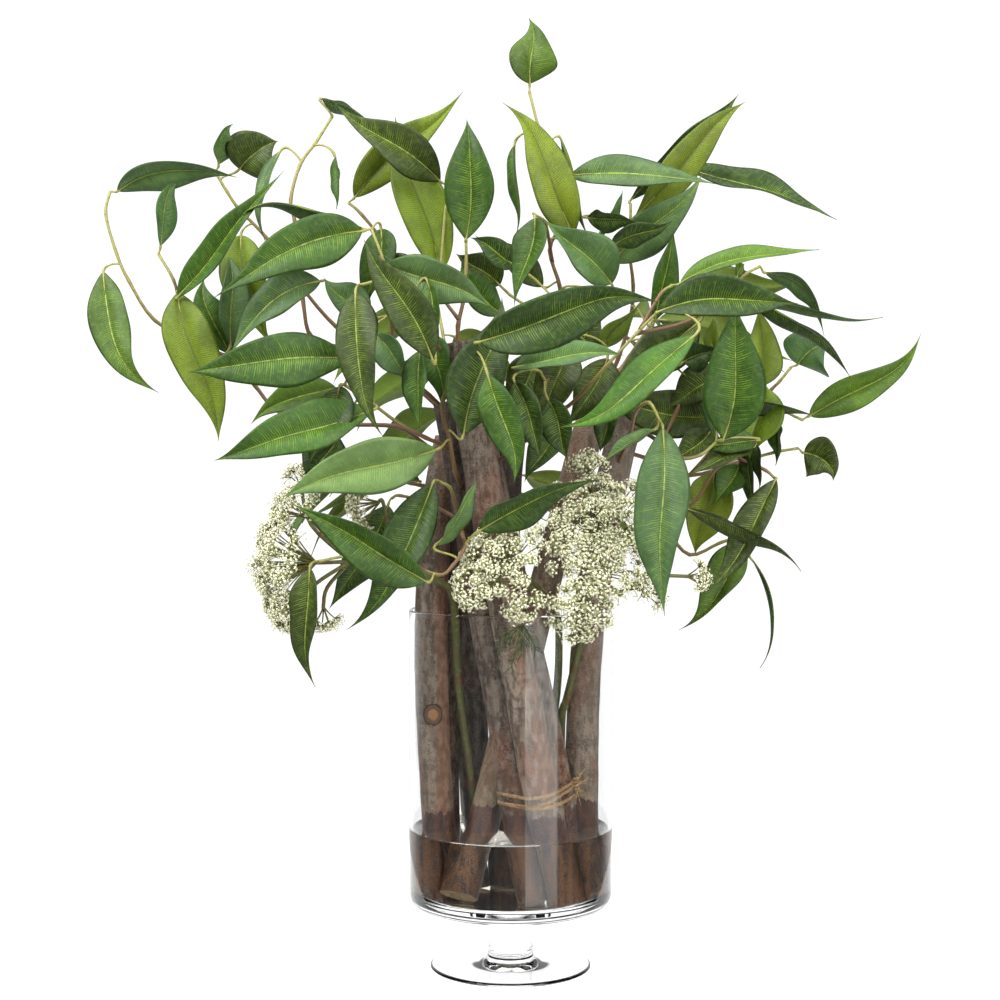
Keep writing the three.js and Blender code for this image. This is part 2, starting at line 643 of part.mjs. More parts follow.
// An umbel: a low dome whose facets are raised into florets, on a cone of rays that ends at the hub.
// The florets' corners follow a sunflower spiral over the dome.
function umbel({ stalk, middle: rimMiddle, radius, florets }) {
  const hub = seen(stalk[stalk.length - 1]);
  const middle = seen(rimMiddle);
  const way = middle.clone().sub(hub).normalize();
  const first = Math.abs(way.z) < 0.8 ? UP.clone() : new THREE.Vector3(1, 0, 0);
  first.addScaledVector(way, -first.dot(way)).normalize();
  const second = way.clone().cross(first);
  const points = [];
  for (let i = 0; i < florets; i++) {
    const share = (i + 0.5) / florets;
    const angle = i * Math.PI * (3 - Math.sqrt(5));
    const rough = 1 + 0.06 * Math.sin(9.1 * i);
    points.push(middle.clone()
      .addScaledVector(way, DOME * radius * (1 - share) * rough)
      .addScaledVector(first, radius * Math.sqrt(share) * Math.cos(angle) * rough)
      .addScaledVector(second, radius * Math.sqrt(share) * Math.sin(angle) * rough));
  }
  const hull = new ConvexGeometry([...points, hub]).getAttribute("position");
  const positions = [];
  const add = (...corners) => corners.forEach((corner) => positions.push(corner.x, corner.y, corner.z));
  for (let i = 0; i < hull.count; i += 3) {
    const [a, b, c] = [0, 1, 2].map((k) => new THREE.Vector3().fromBufferAttribute(hull, i + k));
    if ([a, b, c].some((corner) => corner.distanceTo(hub) < 0.01)) {
      add(a, b, c);
      continue;
    }
    const normal = b.clone().sub(a).cross(c.clone().sub(a)).normalize();
    const peak = a.clone().add(b).add(c).divideScalar(3).addScaledVector(normal, FLORET * radius + 1);
    add(a, b, peak, b, c, peak, c, a, peak);
  }
  const geometry = new THREE.BufferGeometry();
  geometry.setAttribute("position", new THREE.Float32BufferAttribute(positions, 3));
  return solidOf(geometry);
}

// A flower's stem, or the hole that it needs with some clearance
function flowerStem({ stem }, clearance = 0, longer = 0) {
  const points = stem.map(seen);
  const way = points[1].clone().sub(points[0]).normalize();
  points[0].addScaledVector(way, -longer);
  return taperedBar(points, FLOWER_STEM_RADIUS + clearance, FLOWER_STEM_END_RADIUS + clearance,
    STEM_SIDES);
}

// A stalk runs on past its hub, into the cone of rays
function stalkBar({ stalk, middle }) {
  const points = stalk.map(seen);
  points.push(points[points.length - 1].clone().lerp(seen(middle), STALK_INTO_HEAD));
  return taperedBar(points, STALK_RADIUS, STALK_END_RADIUS, STALK_SIDES);
}

function flower(row) {
  return join([flowerStem(row), ...row.heads.map(stalkBar), ...row.heads.map(umbel)]);
}

// A closed turn of raffia round the tied sticks, a fixed clearance outside them
function raffiaTurn({ height, climb }) {
  const rings = [];
  for (let i = 0; i <= TURN_STEPS; i++) {
    const angle = (2 * Math.PI * i) / TURN_STEPS;
    const look = new THREE.Vector3(Math.cos(angle), Math.sin(angle), 0);
    const level = height + climb * BUNDLE_RADIUS * Math.cos(angle - HIGH_SIDE);
    let reach = null;
    for (const name of TIE_STICKS) {
      const centre = axisAt(name, level);
      const radius = STICKS[name].radius + STRAND_RADIUS + TURN_CLEARANCE;
      const edge = centre.clone().addScaledVector(look, radius);
      if (!reach || edge.dot(look) > reach.dot(look)) reach = edge;
    }
    rings.push(reach.setZ(level));
  }
  return rings;
}

// The turns, with a knot on their right whose two ends hang
function raffia() {
  const bars = TURNS.map((turn) => {
    const points = raffiaTurn(turn);
    return bar(points, points.map(() => STRAND_RADIUS), 3);
  });
  const knot = raffiaTurn(TURNS[1])[0].add(new THREE.Vector3(1, -1, 1));
  const ends = [[16, 2, 12], [3, -3, -17]].map((reach) => {
    const tip = knot.clone().add(new THREE.Vector3(...reach));
    return taperedBar([knot, knot.clone().lerp(tip, 0.5).add(UP), tip], 1.2, 0.7, 3);
  });
  const [under, over] = [-5, 6].map((rise) => knot.clone().addScaledVector(UP, rise));
  const wrap = taperedBar([under, over], 2, 2, 5);
  return join([...bars, wrap, ...ends]);
}

// The footed cylinder, turned about its axis
function vase() {
  const outer = BODY_RADIUS;
  const inner = BODY_RADIUS - WALL;
  const profile = [
    [0, 0], [FOOT_RADIUS - 1.5, 0], [FOOT_RADIUS, 1.2], [FOOT_RADIUS - 1, 2.7], [30, 3.4], [21, 4.8],
    [STEM_RADIUS + 1, 7.4], [STEM_RADIUS, 11.5], [STEM_RADIUS, BODY_BOTTOM - 3.5],
    [STEM_RADIUS + 3.5, BODY_BOTTOM], [outer - 9, BODY_BOTTOM], [outer - 3.6, BODY_BOTTOM + 2],
    [outer - 0.8, BODY_BOTTOM + 5.6], [outer, BODY_BOTTOM + 10], [outer, RIM_HEIGHT - 1], [outer - WALL / 2, RIM_HEIGHT],
    [inner, RIM_HEIGHT - 1], [inner, FLOOR + 6], [inner - 2, FLOOR + 1.8], [inner - 7, FLOOR], [0, FLOOR],
  ].map(([r, z]) => new THREE.Vector2(r, z));
  return solidOf(new THREE.LatheGeometry(profile, VASE_SIDES).rotateX(Math.PI / 2));
}

// The water, with a plain hole for each stick and flower stem
function water() {
  const wall = BODY_RADIUS - WALL - GAP;
  const profile = [
    [0, FLOOR + GAP], [wall - 7, FLOOR + GAP], [wall - 2.1, FLOOR + 2.3], [wall, FLOOR + 6.3],
    [wall, WATER_LEVEL + 1.4], [wall - 2.5, WATER_LEVEL], [0, WATER_LEVEL],
  ].map(([r, z]) => new THREE.Vector2(r, z));
  const holes = [
    ...Object.keys(STICKS).map((name) => stick(name, GAP, 12)),
    ...Object.values(FLOWERS).map((row) => flowerStem(row, GAP, 12)),
  ];
  return solidOf(new THREE.LatheGeometry(profile, VASE_SIDES).rotateX(Math.PI / 2)).subtract(join(holes));
}

const arrangement = new THREE.Group();

// A node's one body: loose scraps and sealed hollows that joining leaves are dropped
function place(name, solid, finish) {
  const body = solid.decompose().reduce((most, piece) => (piece.volume() > most.volume() ? piece : most));
  const mesh = new THREE.Mesh(geometryOf(body), new THREE.MeshStandardMaterial(finish));
  mesh.name = name;
  arrangement.add(mesh);
}

place("glass_vase", vase(), GLASS);
place("water", water(), WATER);

const sprays = new Map();
Object.entries(SPRAYS).forEach(([name, row]) => sprays.set(name, frontSpray(row)));
Object.entries(BACK_SPRAYS).forEach(([name, row], i) => sprays.set(name, backSpray(row, 401 + 97 * i)));

for (const name of Object.keys(STICKS)) {
  const holes = [...sprays.values()].map(({ hole }) => hole).filter((hole) => hole.stick === name);
  place(name, holes.reduce((whole, hole) => whole.subtract(hole.solid), stick(name)), BARK);
}
place("raffia_tie", raffia(), RAFFIA);
for (const [name, { solid }] of sprays) place(name, solid, LEAF);
for (const [name, row] of Object.entries(FLOWERS)) place(name, flower(row), FLORETS);

export default arrangement;
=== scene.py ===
# %% [markdown]
# # Leafy stems, sticks and umbels in a footed glass vase
# The solids of this object are already made: a glass vase, water, sticks, leafy sprays, flowers and a
# raffia tie. They are plain and faceted. This lesson dresses them: each cell works out one piece as a
# smooth surface with numpy, gives it a procedural finish, and sets it where its plain solid stands.

import bpy
import numpy as np
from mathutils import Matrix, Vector


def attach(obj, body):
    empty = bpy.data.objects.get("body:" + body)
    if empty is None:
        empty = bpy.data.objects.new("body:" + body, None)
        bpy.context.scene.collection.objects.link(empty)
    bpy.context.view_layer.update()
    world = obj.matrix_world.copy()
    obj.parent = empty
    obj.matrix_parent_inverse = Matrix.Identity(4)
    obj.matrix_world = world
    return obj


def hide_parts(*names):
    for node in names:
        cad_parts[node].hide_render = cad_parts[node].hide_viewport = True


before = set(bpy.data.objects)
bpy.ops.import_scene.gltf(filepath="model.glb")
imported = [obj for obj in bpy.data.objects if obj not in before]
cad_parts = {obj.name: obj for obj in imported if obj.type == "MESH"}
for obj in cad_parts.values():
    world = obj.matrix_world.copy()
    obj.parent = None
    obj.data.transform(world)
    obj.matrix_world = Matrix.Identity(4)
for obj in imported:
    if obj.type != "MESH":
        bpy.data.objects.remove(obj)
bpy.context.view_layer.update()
MM = 0.001

# %% [markdown]
# ## Camera
# The object is looked at from straight in front, a little above its middle, from as far away as one
# stands to look at a vase on a shelf. The eye's place matters for the layout too: the sprays are laid
# out as they are seen, so each point is given by its place in the picture plane and by its depth.

# %% Camera
EYE = np.array([-7.8, -1310.0, 360.0])
AIM = np.array([-7.8, 0.0, 346.7])
FOCAL_SHARE = 1.764
SENSOR = 36.0
NEAREST, FARTHEST = 0.05, 50

camera = bpy.data.objects.new("camera", bpy.data.cameras.new("camera"))
camera.data.sensor_width = SENSOR
camera.data.lens = SENSOR * FOCAL_SHARE
camera.data.clip_start = NEAREST
camera.data.clip_end = FARTHEST
camera.location = EYE * MM
camera.rotation_euler = Vector(AIM - EYE).to_track_quat("-Z", "Y").to_euler()
bpy.context.scene.collection.objects.link(camera)
bpy.context.scene.camera = camera
bpy.context.scene.view_settings.view_transform = "Standard"
print("camera:", tuple(camera.location), "with a lens of", camera.data.lens, "mm")

# %% [markdown]
# ## Shader arithmetic
# Materials here are built from nodes. Wiring each node by hand hides the idea, so one small class
# stands for a node's output and lets Python's own + - and * add the Math nodes. A second class holds a
# node tree and adds any other node from its kind, its settings and its inputs.

# %% Shader arithmetic
class Link:
    """The output of a shader node. Arithmetic on it adds Math nodes to its tree."""

    def __init__(self, tree, socket):
        self.tree = tree
        self.socket = socket

    def math(self, operation, *values):
        return self.tree.node("ShaderNodeMath", {"operation": operation}, dict(enumerate(values)))

    def __add__(self, other):
        return self.math("ADD", self, other)

    def __radd__(self, other):
        return self.math("ADD", other, self)

    def __sub__(self, other):
        return self.math("SUBTRACT", self, other)

    def __rsub__(self, other):
        return self.math("SUBTRACT", other, self)

    def __mul__(self, other):
        return self.math("MULTIPLY", self, other)

    def __rmul__(self, other):
        return self.math("MULTIPLY", other, self)

    def __abs__(self):
        return self.math("ABSOLUTE", self)

    def fraction(self):
        return self.math("FRACT", self)

    def floor(self):
        return self.math("FLOOR", self)

    def between(self, low, high):
        """0 below low, 1 above high, and a smooth step from one to the other."""
        settings = {"interpolation_type": "SMOOTHSTEP"}
        return self.tree.node("ShaderNodeMapRange", settings, {0: self, 1: low, 2: high, 3: 0.0, 4: 1.0})


class Tree:
    """The nodes of one material, or of the sky."""

    def __init__(self, node_tree):
        self.nodes = node_tree.nodes
        self.links = node_tree.links

    def node(self, kind, settings=None, inputs=None, output=0):
        """Adds a node of a kind, makes its settings, fills its inputs, and returns one of its outputs."""
        made = self.nodes.new(kind)
        for name, value in (settings or {}).items():
            setattr(made, name, value)
        for key, value in (inputs or {}).items():
            if isinstance(value, Link):
                self.links.new(value.socket, made.inputs[key])
            else:
                made.inputs[key].default_value = value
        return Link(self, made.outputs[output])

    def mix(self, factor, first, second):
        """A colour between two colours."""
        colours = {0: factor, 6: first, 7: second}
        return self.node("ShaderNodeMix", {"data_type": "RGBA"}, colours, output=2)

    def coats(self, ground, coats):
        """Coats over a ground, one after another. Each is a pattern, the two values of it at which the
        coat begins and is full, the most that it covers, and its colour."""
        for pattern, begins, full, cover, paint in coats:
            ground = self.mix(pattern.between(begins, full) * cover, ground, paint)
        return ground

    def mark(self, name, output="Fac"):
        """What was written at the mesh's points under a name."""
        return self.node("ShaderNodeAttribute", {"attribute_name": name}, output=output)

    def place(self):
        return self.node("ShaderNodeTexCoord", output="Object")

    def stretched(self, x, y, z):
        """Object coordinates scaled by a factor along each axis."""
        scale = self.node("ShaderNodeCombineXYZ", None, {0: x, 1: y, 2: z})
        return self.node("ShaderNodeVectorMath", {"operation": "MULTIPLY"}, {0: self.place(), 1: scale})

    def noise(self, vector, scale, detail=2.0):
        return self.node("ShaderNodeTexNoise", None, {"Vector": vector, "Scale": scale, "Detail": detail})

    def bump(self, height, strength, distance):
        values = {"Height": height, "Strength": strength, "Distance": distance}
        return self.node("ShaderNodeBump", None, values)


def colour(red, green, blue):
    """A colour from 0 to 255 as it is seen on a screen, as the linear colour that a shader takes."""
    seen_colour = np.array([red, green, blue]) / 255
    linear = np.where(seen_colour <= 0.04045, seen_colour / 12.92, ((seen_colour + 0.055) / 1.055) ** 2.4)
    return (*(float(x) for x in linear), 1.0)


def finish(name, build, **values):
    """A material whose Principled shader takes what build returns, and constants set on its sockets."""
    material = bpy.data.materials.new(name)
    material.use_nodes = True
    tree = Tree(material.node_tree)
    shader = material.node_tree.nodes["Principled BSDF"]
    for socket, value in {**values, **build(tree)}.items():
        if isinstance(value, Link):
            tree.links.new(value.socket, shader.inputs[socket])
        else:
            shader.inputs[socket].default_value = value
    return material


print("mid grey as a shader takes it:", colour(128, 128, 128))

# %% [markdown]
# ## Pieces from closed surfaces
# Every piece here is a set of closed surfaces. Most are grids of points whose columns run round them and
# whose rows run along them, closed at both ends by one point; a floret is a copy of one small shape. A
# piece gathers them as whole arrays, with marks at their points that its material reads, such as how far
# along a leaf a point lies.

# %% Pieces
def grid_faces(rows, columns):
    """Quads of a grid that wraps across its columns, and triangles that close its first and last row."""
    row, column = np.meshgrid(np.arange(rows - 1), np.arange(columns), indexing="ij")
    here = row * columns + column
    beside = row * columns + (column + 1) % columns
    quads = np.stack([here, beside, beside + columns, here + columns], axis=-1).reshape(-1, 4)
    ring = np.arange(columns)
    after = (ring + 1) % columns
    top = (rows - 1) * columns
    first = np.stack([after, ring, np.full(columns, rows * columns), np.full(columns, -1)], axis=-1)
    last = np.stack([ring + top, after + top, np.full(columns, rows * columns + 1), np.full(columns, -1)],
                    axis=-1)
    return quads, np.concatenate([first, last])


class Piece:
    """Closed surfaces gathered into one mesh, in millimetres until it is made."""

    def __init__(self):
        self.points = []
        self.faces = []
        self.finishes = []
        self.smooth = []
        self.marks = []
        self.count = 0

    def store(self, points, faces, finish, smooth, marks):
        self.points.append(points)
        self.faces.append(np.where(faces < 0, -1, faces + self.count))
        self.finishes.append(np.full(len(faces), finish))
        self.smooth.append(smooth)
        self.marks.append(marks)
        self.count += len(points)

    def add(self, grid, finish=0, cap=None, ends=None, flat_ends=False, **marks):
        """A grid of points, closed at its ends by their middles or by the points given. Marks hold a
        value for each point of the grid, for each row, or one for all."""
        rows, columns = grid.shape[:2]
        poles = np.array([grid[0].mean(axis=0), grid[-1].mean(axis=0)]) if ends is None else np.array(ends)
        quads, caps = grid_faces(rows, columns)
        spread = {}
        for name, value in marks.items():
            value = np.asarray(value, float)
            if value.shape == (4,):
                spread[name] = np.broadcast_to(value, (rows * columns + 2, 4))
                continue
            value = value[:, None] if value.shape == (rows,) else value
            value = np.broadcast_to(value, (rows, columns))
            spread[name] = np.concatenate([value.reshape(-1), [value[0].mean(), value[-1].mean()]])
        points = np.concatenate([grid.reshape(-1, 3), poles])
        self.store(points, np.concatenate([quads, caps]), finish,
                   np.concatenate([np.ones(len(quads), bool), np.full(len(caps), not flat_ends)]), spread)
        if cap is not None:
            self.finishes[-1][len(quads):] = cap

    def add_copies(self, points, triangles, places, frames, finish=0, **marks):
        """Copies of a small closed shape: each copy's points are turned by its frame, then moved to its
        place."""
        moved = np.einsum("pk,nkj->npj", points, frames) + places[:, None, :]
        steps = np.arange(len(places))[:, None, None] * len(points)
        faces = (triangles[None] + steps).reshape(-1, 3)
        faces = np.concatenate([faces, np.full((len(faces), 1), -1)], axis=1)
        spread = {name: np.repeat(np.asarray(value, float), len(points)) for name, value in marks.items()}
        self.store(moved.reshape(-1, 3), faces, finish, np.ones(len(faces), bool), spread)

    def make(self, name, finishes, replaces=()):
        """The mesh object, riding on the body and standing for the plain solids that it replaces."""
        faces = np.concatenate(self.faces)
        used = faces >= 0
        starts = np.concatenate([[0], np.cumsum(used.sum(axis=1))[:-1]])
        mesh = bpy.data.meshes.new(name)
        mesh.vertices.add(self.count)
        mesh.vertices.foreach_set("co", (np.concatenate(self.points) * MM).astype(np.float32).ravel())
        mesh.loops.add(int(used.sum()))
        mesh.loops.foreach_set("vertex_index", faces[used].astype(np.int32))
        mesh.polygons.add(len(faces))
        mesh.polygons.foreach_set("loop_start", starts.astype(np.int32))
        for material in finishes:
            mesh.materials.append(material)
        mesh.update(calc_edges=True)
        mesh.polygons.foreach_set("material_index", np.concatenate(self.finishes).astype(np.int32))
        mesh.polygons.foreach_set("use_smooth", np.concatenate(self.smooth))
        for mark in sorted({mark for marks in self.marks for mark in marks}):
            self.write_mark(mesh, mark)
        mesh.update()
        piece = bpy.data.objects.new(name, mesh)
        bpy.context.scene.collection.objects.link(piece)
        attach(piece, "root")
        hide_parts(*replaces)
        print(f"{name}: {self.count} points, {int((used.sum(axis=1) - 2).sum())} triangles")

    def write_mark(self, mesh, mark):
        """Writes one mark on the mesh, with 0 where a surface doesn't have it."""
        found = [marks.get(mark) for marks in self.marks]
        coloured = any(values is not None and values.ndim == 2 for values in found)
        width = (4,) if coloured else ()
        whole = [np.zeros((len(points), *width)) if values is None else values
                 for points, values in zip(self.points, found)]
        kind, field = ("FLOAT_COLOR", "color") if coloured else ("FLOAT", "value")
        attribute = mesh.attributes.new(mark, kind, "POINT")
        attribute.data.foreach_set(field, np.concatenate(whole).astype(np.float32).ravel())


print("3 rows of 6 points make", [len(faces) for faces in grid_faces(3, 6)], "quads and triangles")

# %% [markdown]
# ## Tubes and lathes
# Twigs, sticks, rays and strands are all tubes: a ring of points carried along a path. The ring needs
# two directions across the path. Both come from one fixed direction that no path here follows, so the
# rings never twist. The vase and the water are turned: one profile carried round the upright axis.

# %% Tubes and lathes
ACROSS = np.array([0.23, -0.93, 0.29])

def unit(vectors):
    """Vectors scaled to a length of 1."""
    return vectors / np.linalg.norm(vectors, axis=-1, keepdims=True)


def path_frame(path):
    """For each point of a path, its direction and two directions across it: the direction is the
    difference of its neighbours, the first across is the fixed one without its share along the path,
    and the second is at right angles to both."""
    way = unit(np.gradient(path, axis=0))
    first = unit(ACROSS - (way @ ACROSS)[:, None] * way)
    return way, first, np.cross(way, first)


def tube(path, radius, sides):
    """Rings round a path: centre + radius * (first * cos(angle) + second * sin(angle)). The radius is
    one number, a number for each row, or one for each point."""
    angle = np.linspace(0, 2 * np.pi, sides, endpoint=False)
    _, first, second = path_frame(path)
    radius = np.asarray(radius, float)
    if radius.ndim == 1:
        radius = radius[:, None]
    radius = np.broadcast_to(radius, (len(path), sides))[..., None]
    round_it = first[:, None] * np.cos(angle)[:, None] + second[:, None] * np.sin(angle)[:, None]
    return path[:, None] + radius * round_it


def smooth_path(points, steps):
    """A smooth curve through points, with a number of steps from each to the next. Each stretch is the
    cubic whose slope at a point is half the difference of that point's neighbours."""
    points = np.asarray(points, float)
    padded = np.concatenate([[2 * points[0] - points[1]], points, [2 * points[-1] - points[-2]]])
    t = np.linspace(0, 1, steps, endpoint=False)[None, :, None]
    a, b, c, d = (padded[i:len(padded) - 3 + i][:, None] for i in range(4))
    curve = 2 * b + (c - a) * t + (2 * a - 5 * b + 4 * c - d) * t**2 + (3 * b - a - 3 * c + d) * t**3
    curve = 0.5 * curve
    return np.concatenate([curve.reshape(-1, 3), points[-1:]])


def quadratic(start, control, end, t):
    """Points of a quadratic curve: (1-t)^2 start + 2t(1-t) control + t^2 end, and its direction there."""
    t = np.asarray(t)[:, None]
    points = (1 - t) ** 2 * start + 2 * t * (1 - t) * control + t**2 * end
    return points, unit((1 - t) * (control - start) + t * (end - control))


def lathe(profile, sides):
    """A profile of (radius, height), from the axis to the axis, carried round the upright axis. The
    points on the axis are left out, because they close the ends."""
    angle = np.linspace(0, 2 * np.pi, sides, endpoint=False)
    radius, height = profile[1:-1, 0], profile[1:-1, 1]
    rings = np.stack([radius[:, None] * np.cos(angle), radius[:, None] * np.sin(angle),
                      np.broadcast_to(height[:, None], (len(radius), sides))], axis=-1)
    return rings, [[0, 0, profile[0, 1]], [0, 0, profile[-1, 1]]]


def seen(points):
    """The places of points that the front view shows at x and z, and that lie at a depth: each lies on
    the line from the eye through (x, 0, z), where that line reaches the depth."""
    points = np.atleast_2d(np.asarray(points, float))
    depth = points[:, 2]
    scale = (depth - EYE[1]) / -EYE[1]
    return np.stack([EYE[0] + (points[:, 0] - EYE[0]) * scale, depth,
                     EYE[2] + (points[:, 1] - EYE[2]) * scale], axis=-1)


print("seen at 100, 300 and 50 behind the axis is:", seen([[100, 300, 50]])[0])

# %% [markdown]
# ## Leaves
# Each leaf is a long blade with a channelled midrib, two slightly arched halves that rise from it, a
# wavy margin and a drawn-out, hooked tip. It is moulded in two faces, so the blade is closed. The blade
# keeps the midrib curve, the width and the turn of its plain solid; the outline is smooth now, and each
# leaf sways, twists and waves a little in its own way, as heat-pressed leaves do.

# %% Leaf blades
BLADE_ROWS = np.linspace(0, 1, 34) ** 1.05
OVER = np.array([-1, -0.86, -0.62, -0.38, -0.16, -0.05, 0.05, 0.16, 0.38, 0.62, 0.86, 1])
ACROSS_BLADE = np.concatenate([OVER, OVER[-2:0:-1]])
IS_UNDER = np.arange(len(ACROSS_BLADE)) >= len(OVER)
BOW, SWAY, DIP, DROOP, HOOK = 0.05, 0.022, 0.03, 0.06, 0.08
TAIL_FROM = 0.66
TWIST, TWIST_FROM = 44, 0.35
FOLD = (14, 34)
FILL_AT_BASE, FILL_AT_TIP = (0.85, 1.05), (1.45, 1.95)
LEAST_WIDTH, UNEVEN, RIPPLE, ARCH = 0.045, 0.13, 0.035, 0.12
WAVE, WAVES = (0.05, 0.17), (8, 14)
GUTTER_DEPTH, GUTTER_WIDTH = 0.5, 1.3
BLADE_THICKNESS = 0.26

def nearest_on(twigs, place):
    """The point on a set of paths that is nearest to a place."""
    starts = np.concatenate([twig[:-1] for twig in twigs])
    steps = np.concatenate([np.diff(twig, axis=0) for twig in twigs])
    share = np.clip(((place - starts) * steps).sum(axis=1) / (steps**2).sum(axis=1), 0, 1)
    feet = starts + share[:, None] * steps
    return feet[np.argmin(np.linalg.norm(feet - place, axis=1))]


def across_way(facing, way):
    """The two directions across a way: one to its left as seen from the side it faces, and one up."""
    side = unit(np.cross(facing, way))
    return side, np.cross(way, side)


def midrib(base, control, tip, facing, hook, chance):
    """The midrib: a quadratic curve, moved to the side by an S, sway * sin(2 pi t), and by the hook of
    the tail, hook * s^2, where s goes from 0 to 1 over the last third. A wave moves it up and down, and
    its end droops."""
    t = BLADE_ROWS
    length = np.linalg.norm(tip - base)
    centre, way = quadratic(base, control, tip, t)
    side, up = across_way(facing, way)
    tail = np.clip((t - TAIL_FROM) / (1 - TAIL_FROM), 0, 1) ** 2
    sway = chance.uniform(-SWAY, SWAY) * length * np.sin(2 * np.pi * t) + hook * tail
    dip = chance.uniform(-DIP, DIP) * length * np.sin(2 * np.pi * t)
    dip = dip - chance.uniform(0, DROOP) * length * tail
    centre = centre + side * sway[:, None] + up * dip[:, None]
    return centre, unit(np.gradient(centre, axis=0))


def blade(centre, way, facing, width, roll, chance):
    """One blade as a grid: rows run along the midrib; columns go across the upper face and back across
    the lower one. A point lies beside the midrib by half the width times t^a (1-t)^b, where a is about 1
    and b about 1.7, and above it by the fold, an arch in each half and a wave at the margin, less the
    gutter over the midrib."""
    t = BLADE_ROWS[:, None]
    u = ACROSS_BLADE[None]
    flat_side, flat_up = across_way(facing, way)
    angle = np.radians(roll + chance.uniform(-TWIST, TWIST) * (t - TWIST_FROM))
    side = np.cos(angle) * flat_side + np.sin(angle) * flat_up
    up = np.cross(way, side)
    fold = np.radians(chance.uniform(*FOLD))
    share = t ** chance.uniform(*FILL_AT_BASE) * (1 - t) ** chance.uniform(*FILL_AT_TIP)
    half = (LEAST_WIDTH + share / share.max()) * width / 2 * (1 - t**14)
    lean = 1 + chance.uniform(-UNEVEN, UNEVEN) * np.sign(u)
    ripple = 1 + RIPPLE * np.sin(chance.uniform(*WAVES) * t + 2.4 * np.sign(u) + chance.uniform(0, 6))
    beside = u * half * lean * ripple
    wave = chance.uniform(*WAVE)
    wave = wave * np.sin(chance.uniform(*WAVES) * t + 3 * np.sign(u) + chance.uniform(0, 6))
    arch = ARCH * np.sin(np.pi * np.abs(u) ** 0.8)
    lift = (np.abs(u) * np.sin(fold) + arch + wave * u**2 - 0.05) * half
    lift = lift - GUTTER_DEPTH * np.exp(-(beside / GUTTER_WIDTH) ** 2) * (1 - t)
    thick = BLADE_THICKNESS * np.sqrt(np.clip(1 - u**2, 0, 1))
    lift = lift + np.where(IS_UNDER[None], -thick, thick)
    beside = beside * np.cos(fold)
    return centre[:, None] + side[:, None] * beside[..., None] + up[:, None] * lift[..., None]


# %% [markdown]
# ## Leaf stalks
# A made leaf hangs on a short moulded stalk that swells where the blade begins. The stalk leaves the twig
# upwards, bends over into the leaf's own way and runs on a little under the blade, so that the two are
# one piece. It is a tube whose radius is read off a short list.

# %% Leaves with stalks
STALK_LENGTH = 6.0
STALK_SPOTS = [0, 0.12, 0.4, 0.62, 0.78, 1]
STALK_RADII = [1.15, 0.8, 0.75, 1.2, 0.85, 0.2]
VEIN_SPACING = 1.55
LEAF, TWIG = 0, 1

def stalk_path(root, base, way, centre):
    """The stalk leaves the twig upwards and bends over, as a cubic with a slope at both its ends, into
    the midrib's way. It runs on a little under the blade."""
    far = np.linalg.norm(base - root)
    leave = unit(unit(base - root) + [0, 0, 0.7]) * 0.9 * far
    t = np.linspace(0, 1, 9)[:, None]
    stalk = ((2 * t**3 - 3 * t**2 + 1) * root + (t**3 - 2 * t**2 + t) * leave
             + (3 * t**2 - 2 * t**3) * base + (t**3 - t**2) * way * 1.2 * far)
    return np.concatenate([stalk, centre[2:7:2]])


def add_leaf(piece, twigs, base, tip, facing, shape, tone, chance, hook=None):
    """A blade and the stalk that joins it to the nearest twig. Where no hook is given, it is drawn."""
    width, arch, roll = shape
    root = nearest_on(twigs, base)
    chord = tip - base
    if np.linalg.norm(base - root) < STALK_LENGTH:
        base = root + STALK_LENGTH * unit(chord)
    length = np.linalg.norm(chord)
    left = unit(np.cross(facing, chord))
    out = unit(np.cross(chord, left))
    control = (base + tip) / 2 + 2 * arch * left + 2 * BOW * length * out
    hook = chance.uniform(-HOOK, HOOK) * length if hook is None else hook
    centre, way = midrib(base, control, tip, facing, hook, chance)
    grid = blade(centre, way, facing, width, roll, chance)
    tint = np.array(TONES[tone]) * (1 + chance.uniform(-0.16, 0.16)) * (1 + chance.uniform(-0.06, 0.06, 3))
    piece.add(grid, LEAF, along=BLADE_ROWS, across=ACROSS_BLADE, under=IS_UNDER.astype(float),
              veins=length / VEIN_SPACING, half=width / 2, tint=np.append(tint, 1),
              shift=chance.uniform(0, 9), lit=float(tone == "y"))
    stalk = stalk_path(root, base, way[0], centre)
    radius = np.interp(np.linspace(0, 1, len(stalk)), STALK_SPOTS, STALK_RADII)
    piece.add(tube(stalk, radius, 7), TWIG, along=0.9)


print("blade:", len(BLADE_ROWS), "rows of", len(ACROSS_BLADE), "points")

# %% [markdown]
# ## Leaf and twig finish
# The leaves are printed and dipped: a green ground with a comb of close side veins in a lighter
# yellow-green, long ones and short ones by chance, a bright midrib, and paler and darker patches. On
# yellow leaves, which the light shines through, the veins and the midrib are darker than the ground.
# The lower face is lighter and yellower. Where a vein lies is worked out from the marks along and
# across the blade, so the pattern follows every leaf. A finish is built up in coats, one over another.

# %% Leaf finish
LIGHT = 2.0
VEIN_SWEEP = 3.6

def shown(red, green, blue):
    """The colour of a finish that the lit object shows as the colour given."""
    return (*(x / LIGHT for x in colour(red, green, blue)[:3]), 1.0)


# The tones are deep, mid, bright, yellow, grey-green, olive, whitish and light. The grey-green and
# whitish tones are painted sheen: paler, greyer greens for leaves that mirror the bright surround.
TONES = {letter: shown(*seen_as)[:3] for letter, seen_as in {
    "d": (40, 72, 18), "m": (56, 98, 18), "b": (72, 122, 24), "y": (138, 162, 32), "g": (88, 124, 72),
    "o": (58, 72, 20), "w": (138, 172, 100), "l": (94, 128, 36),
}.items()}

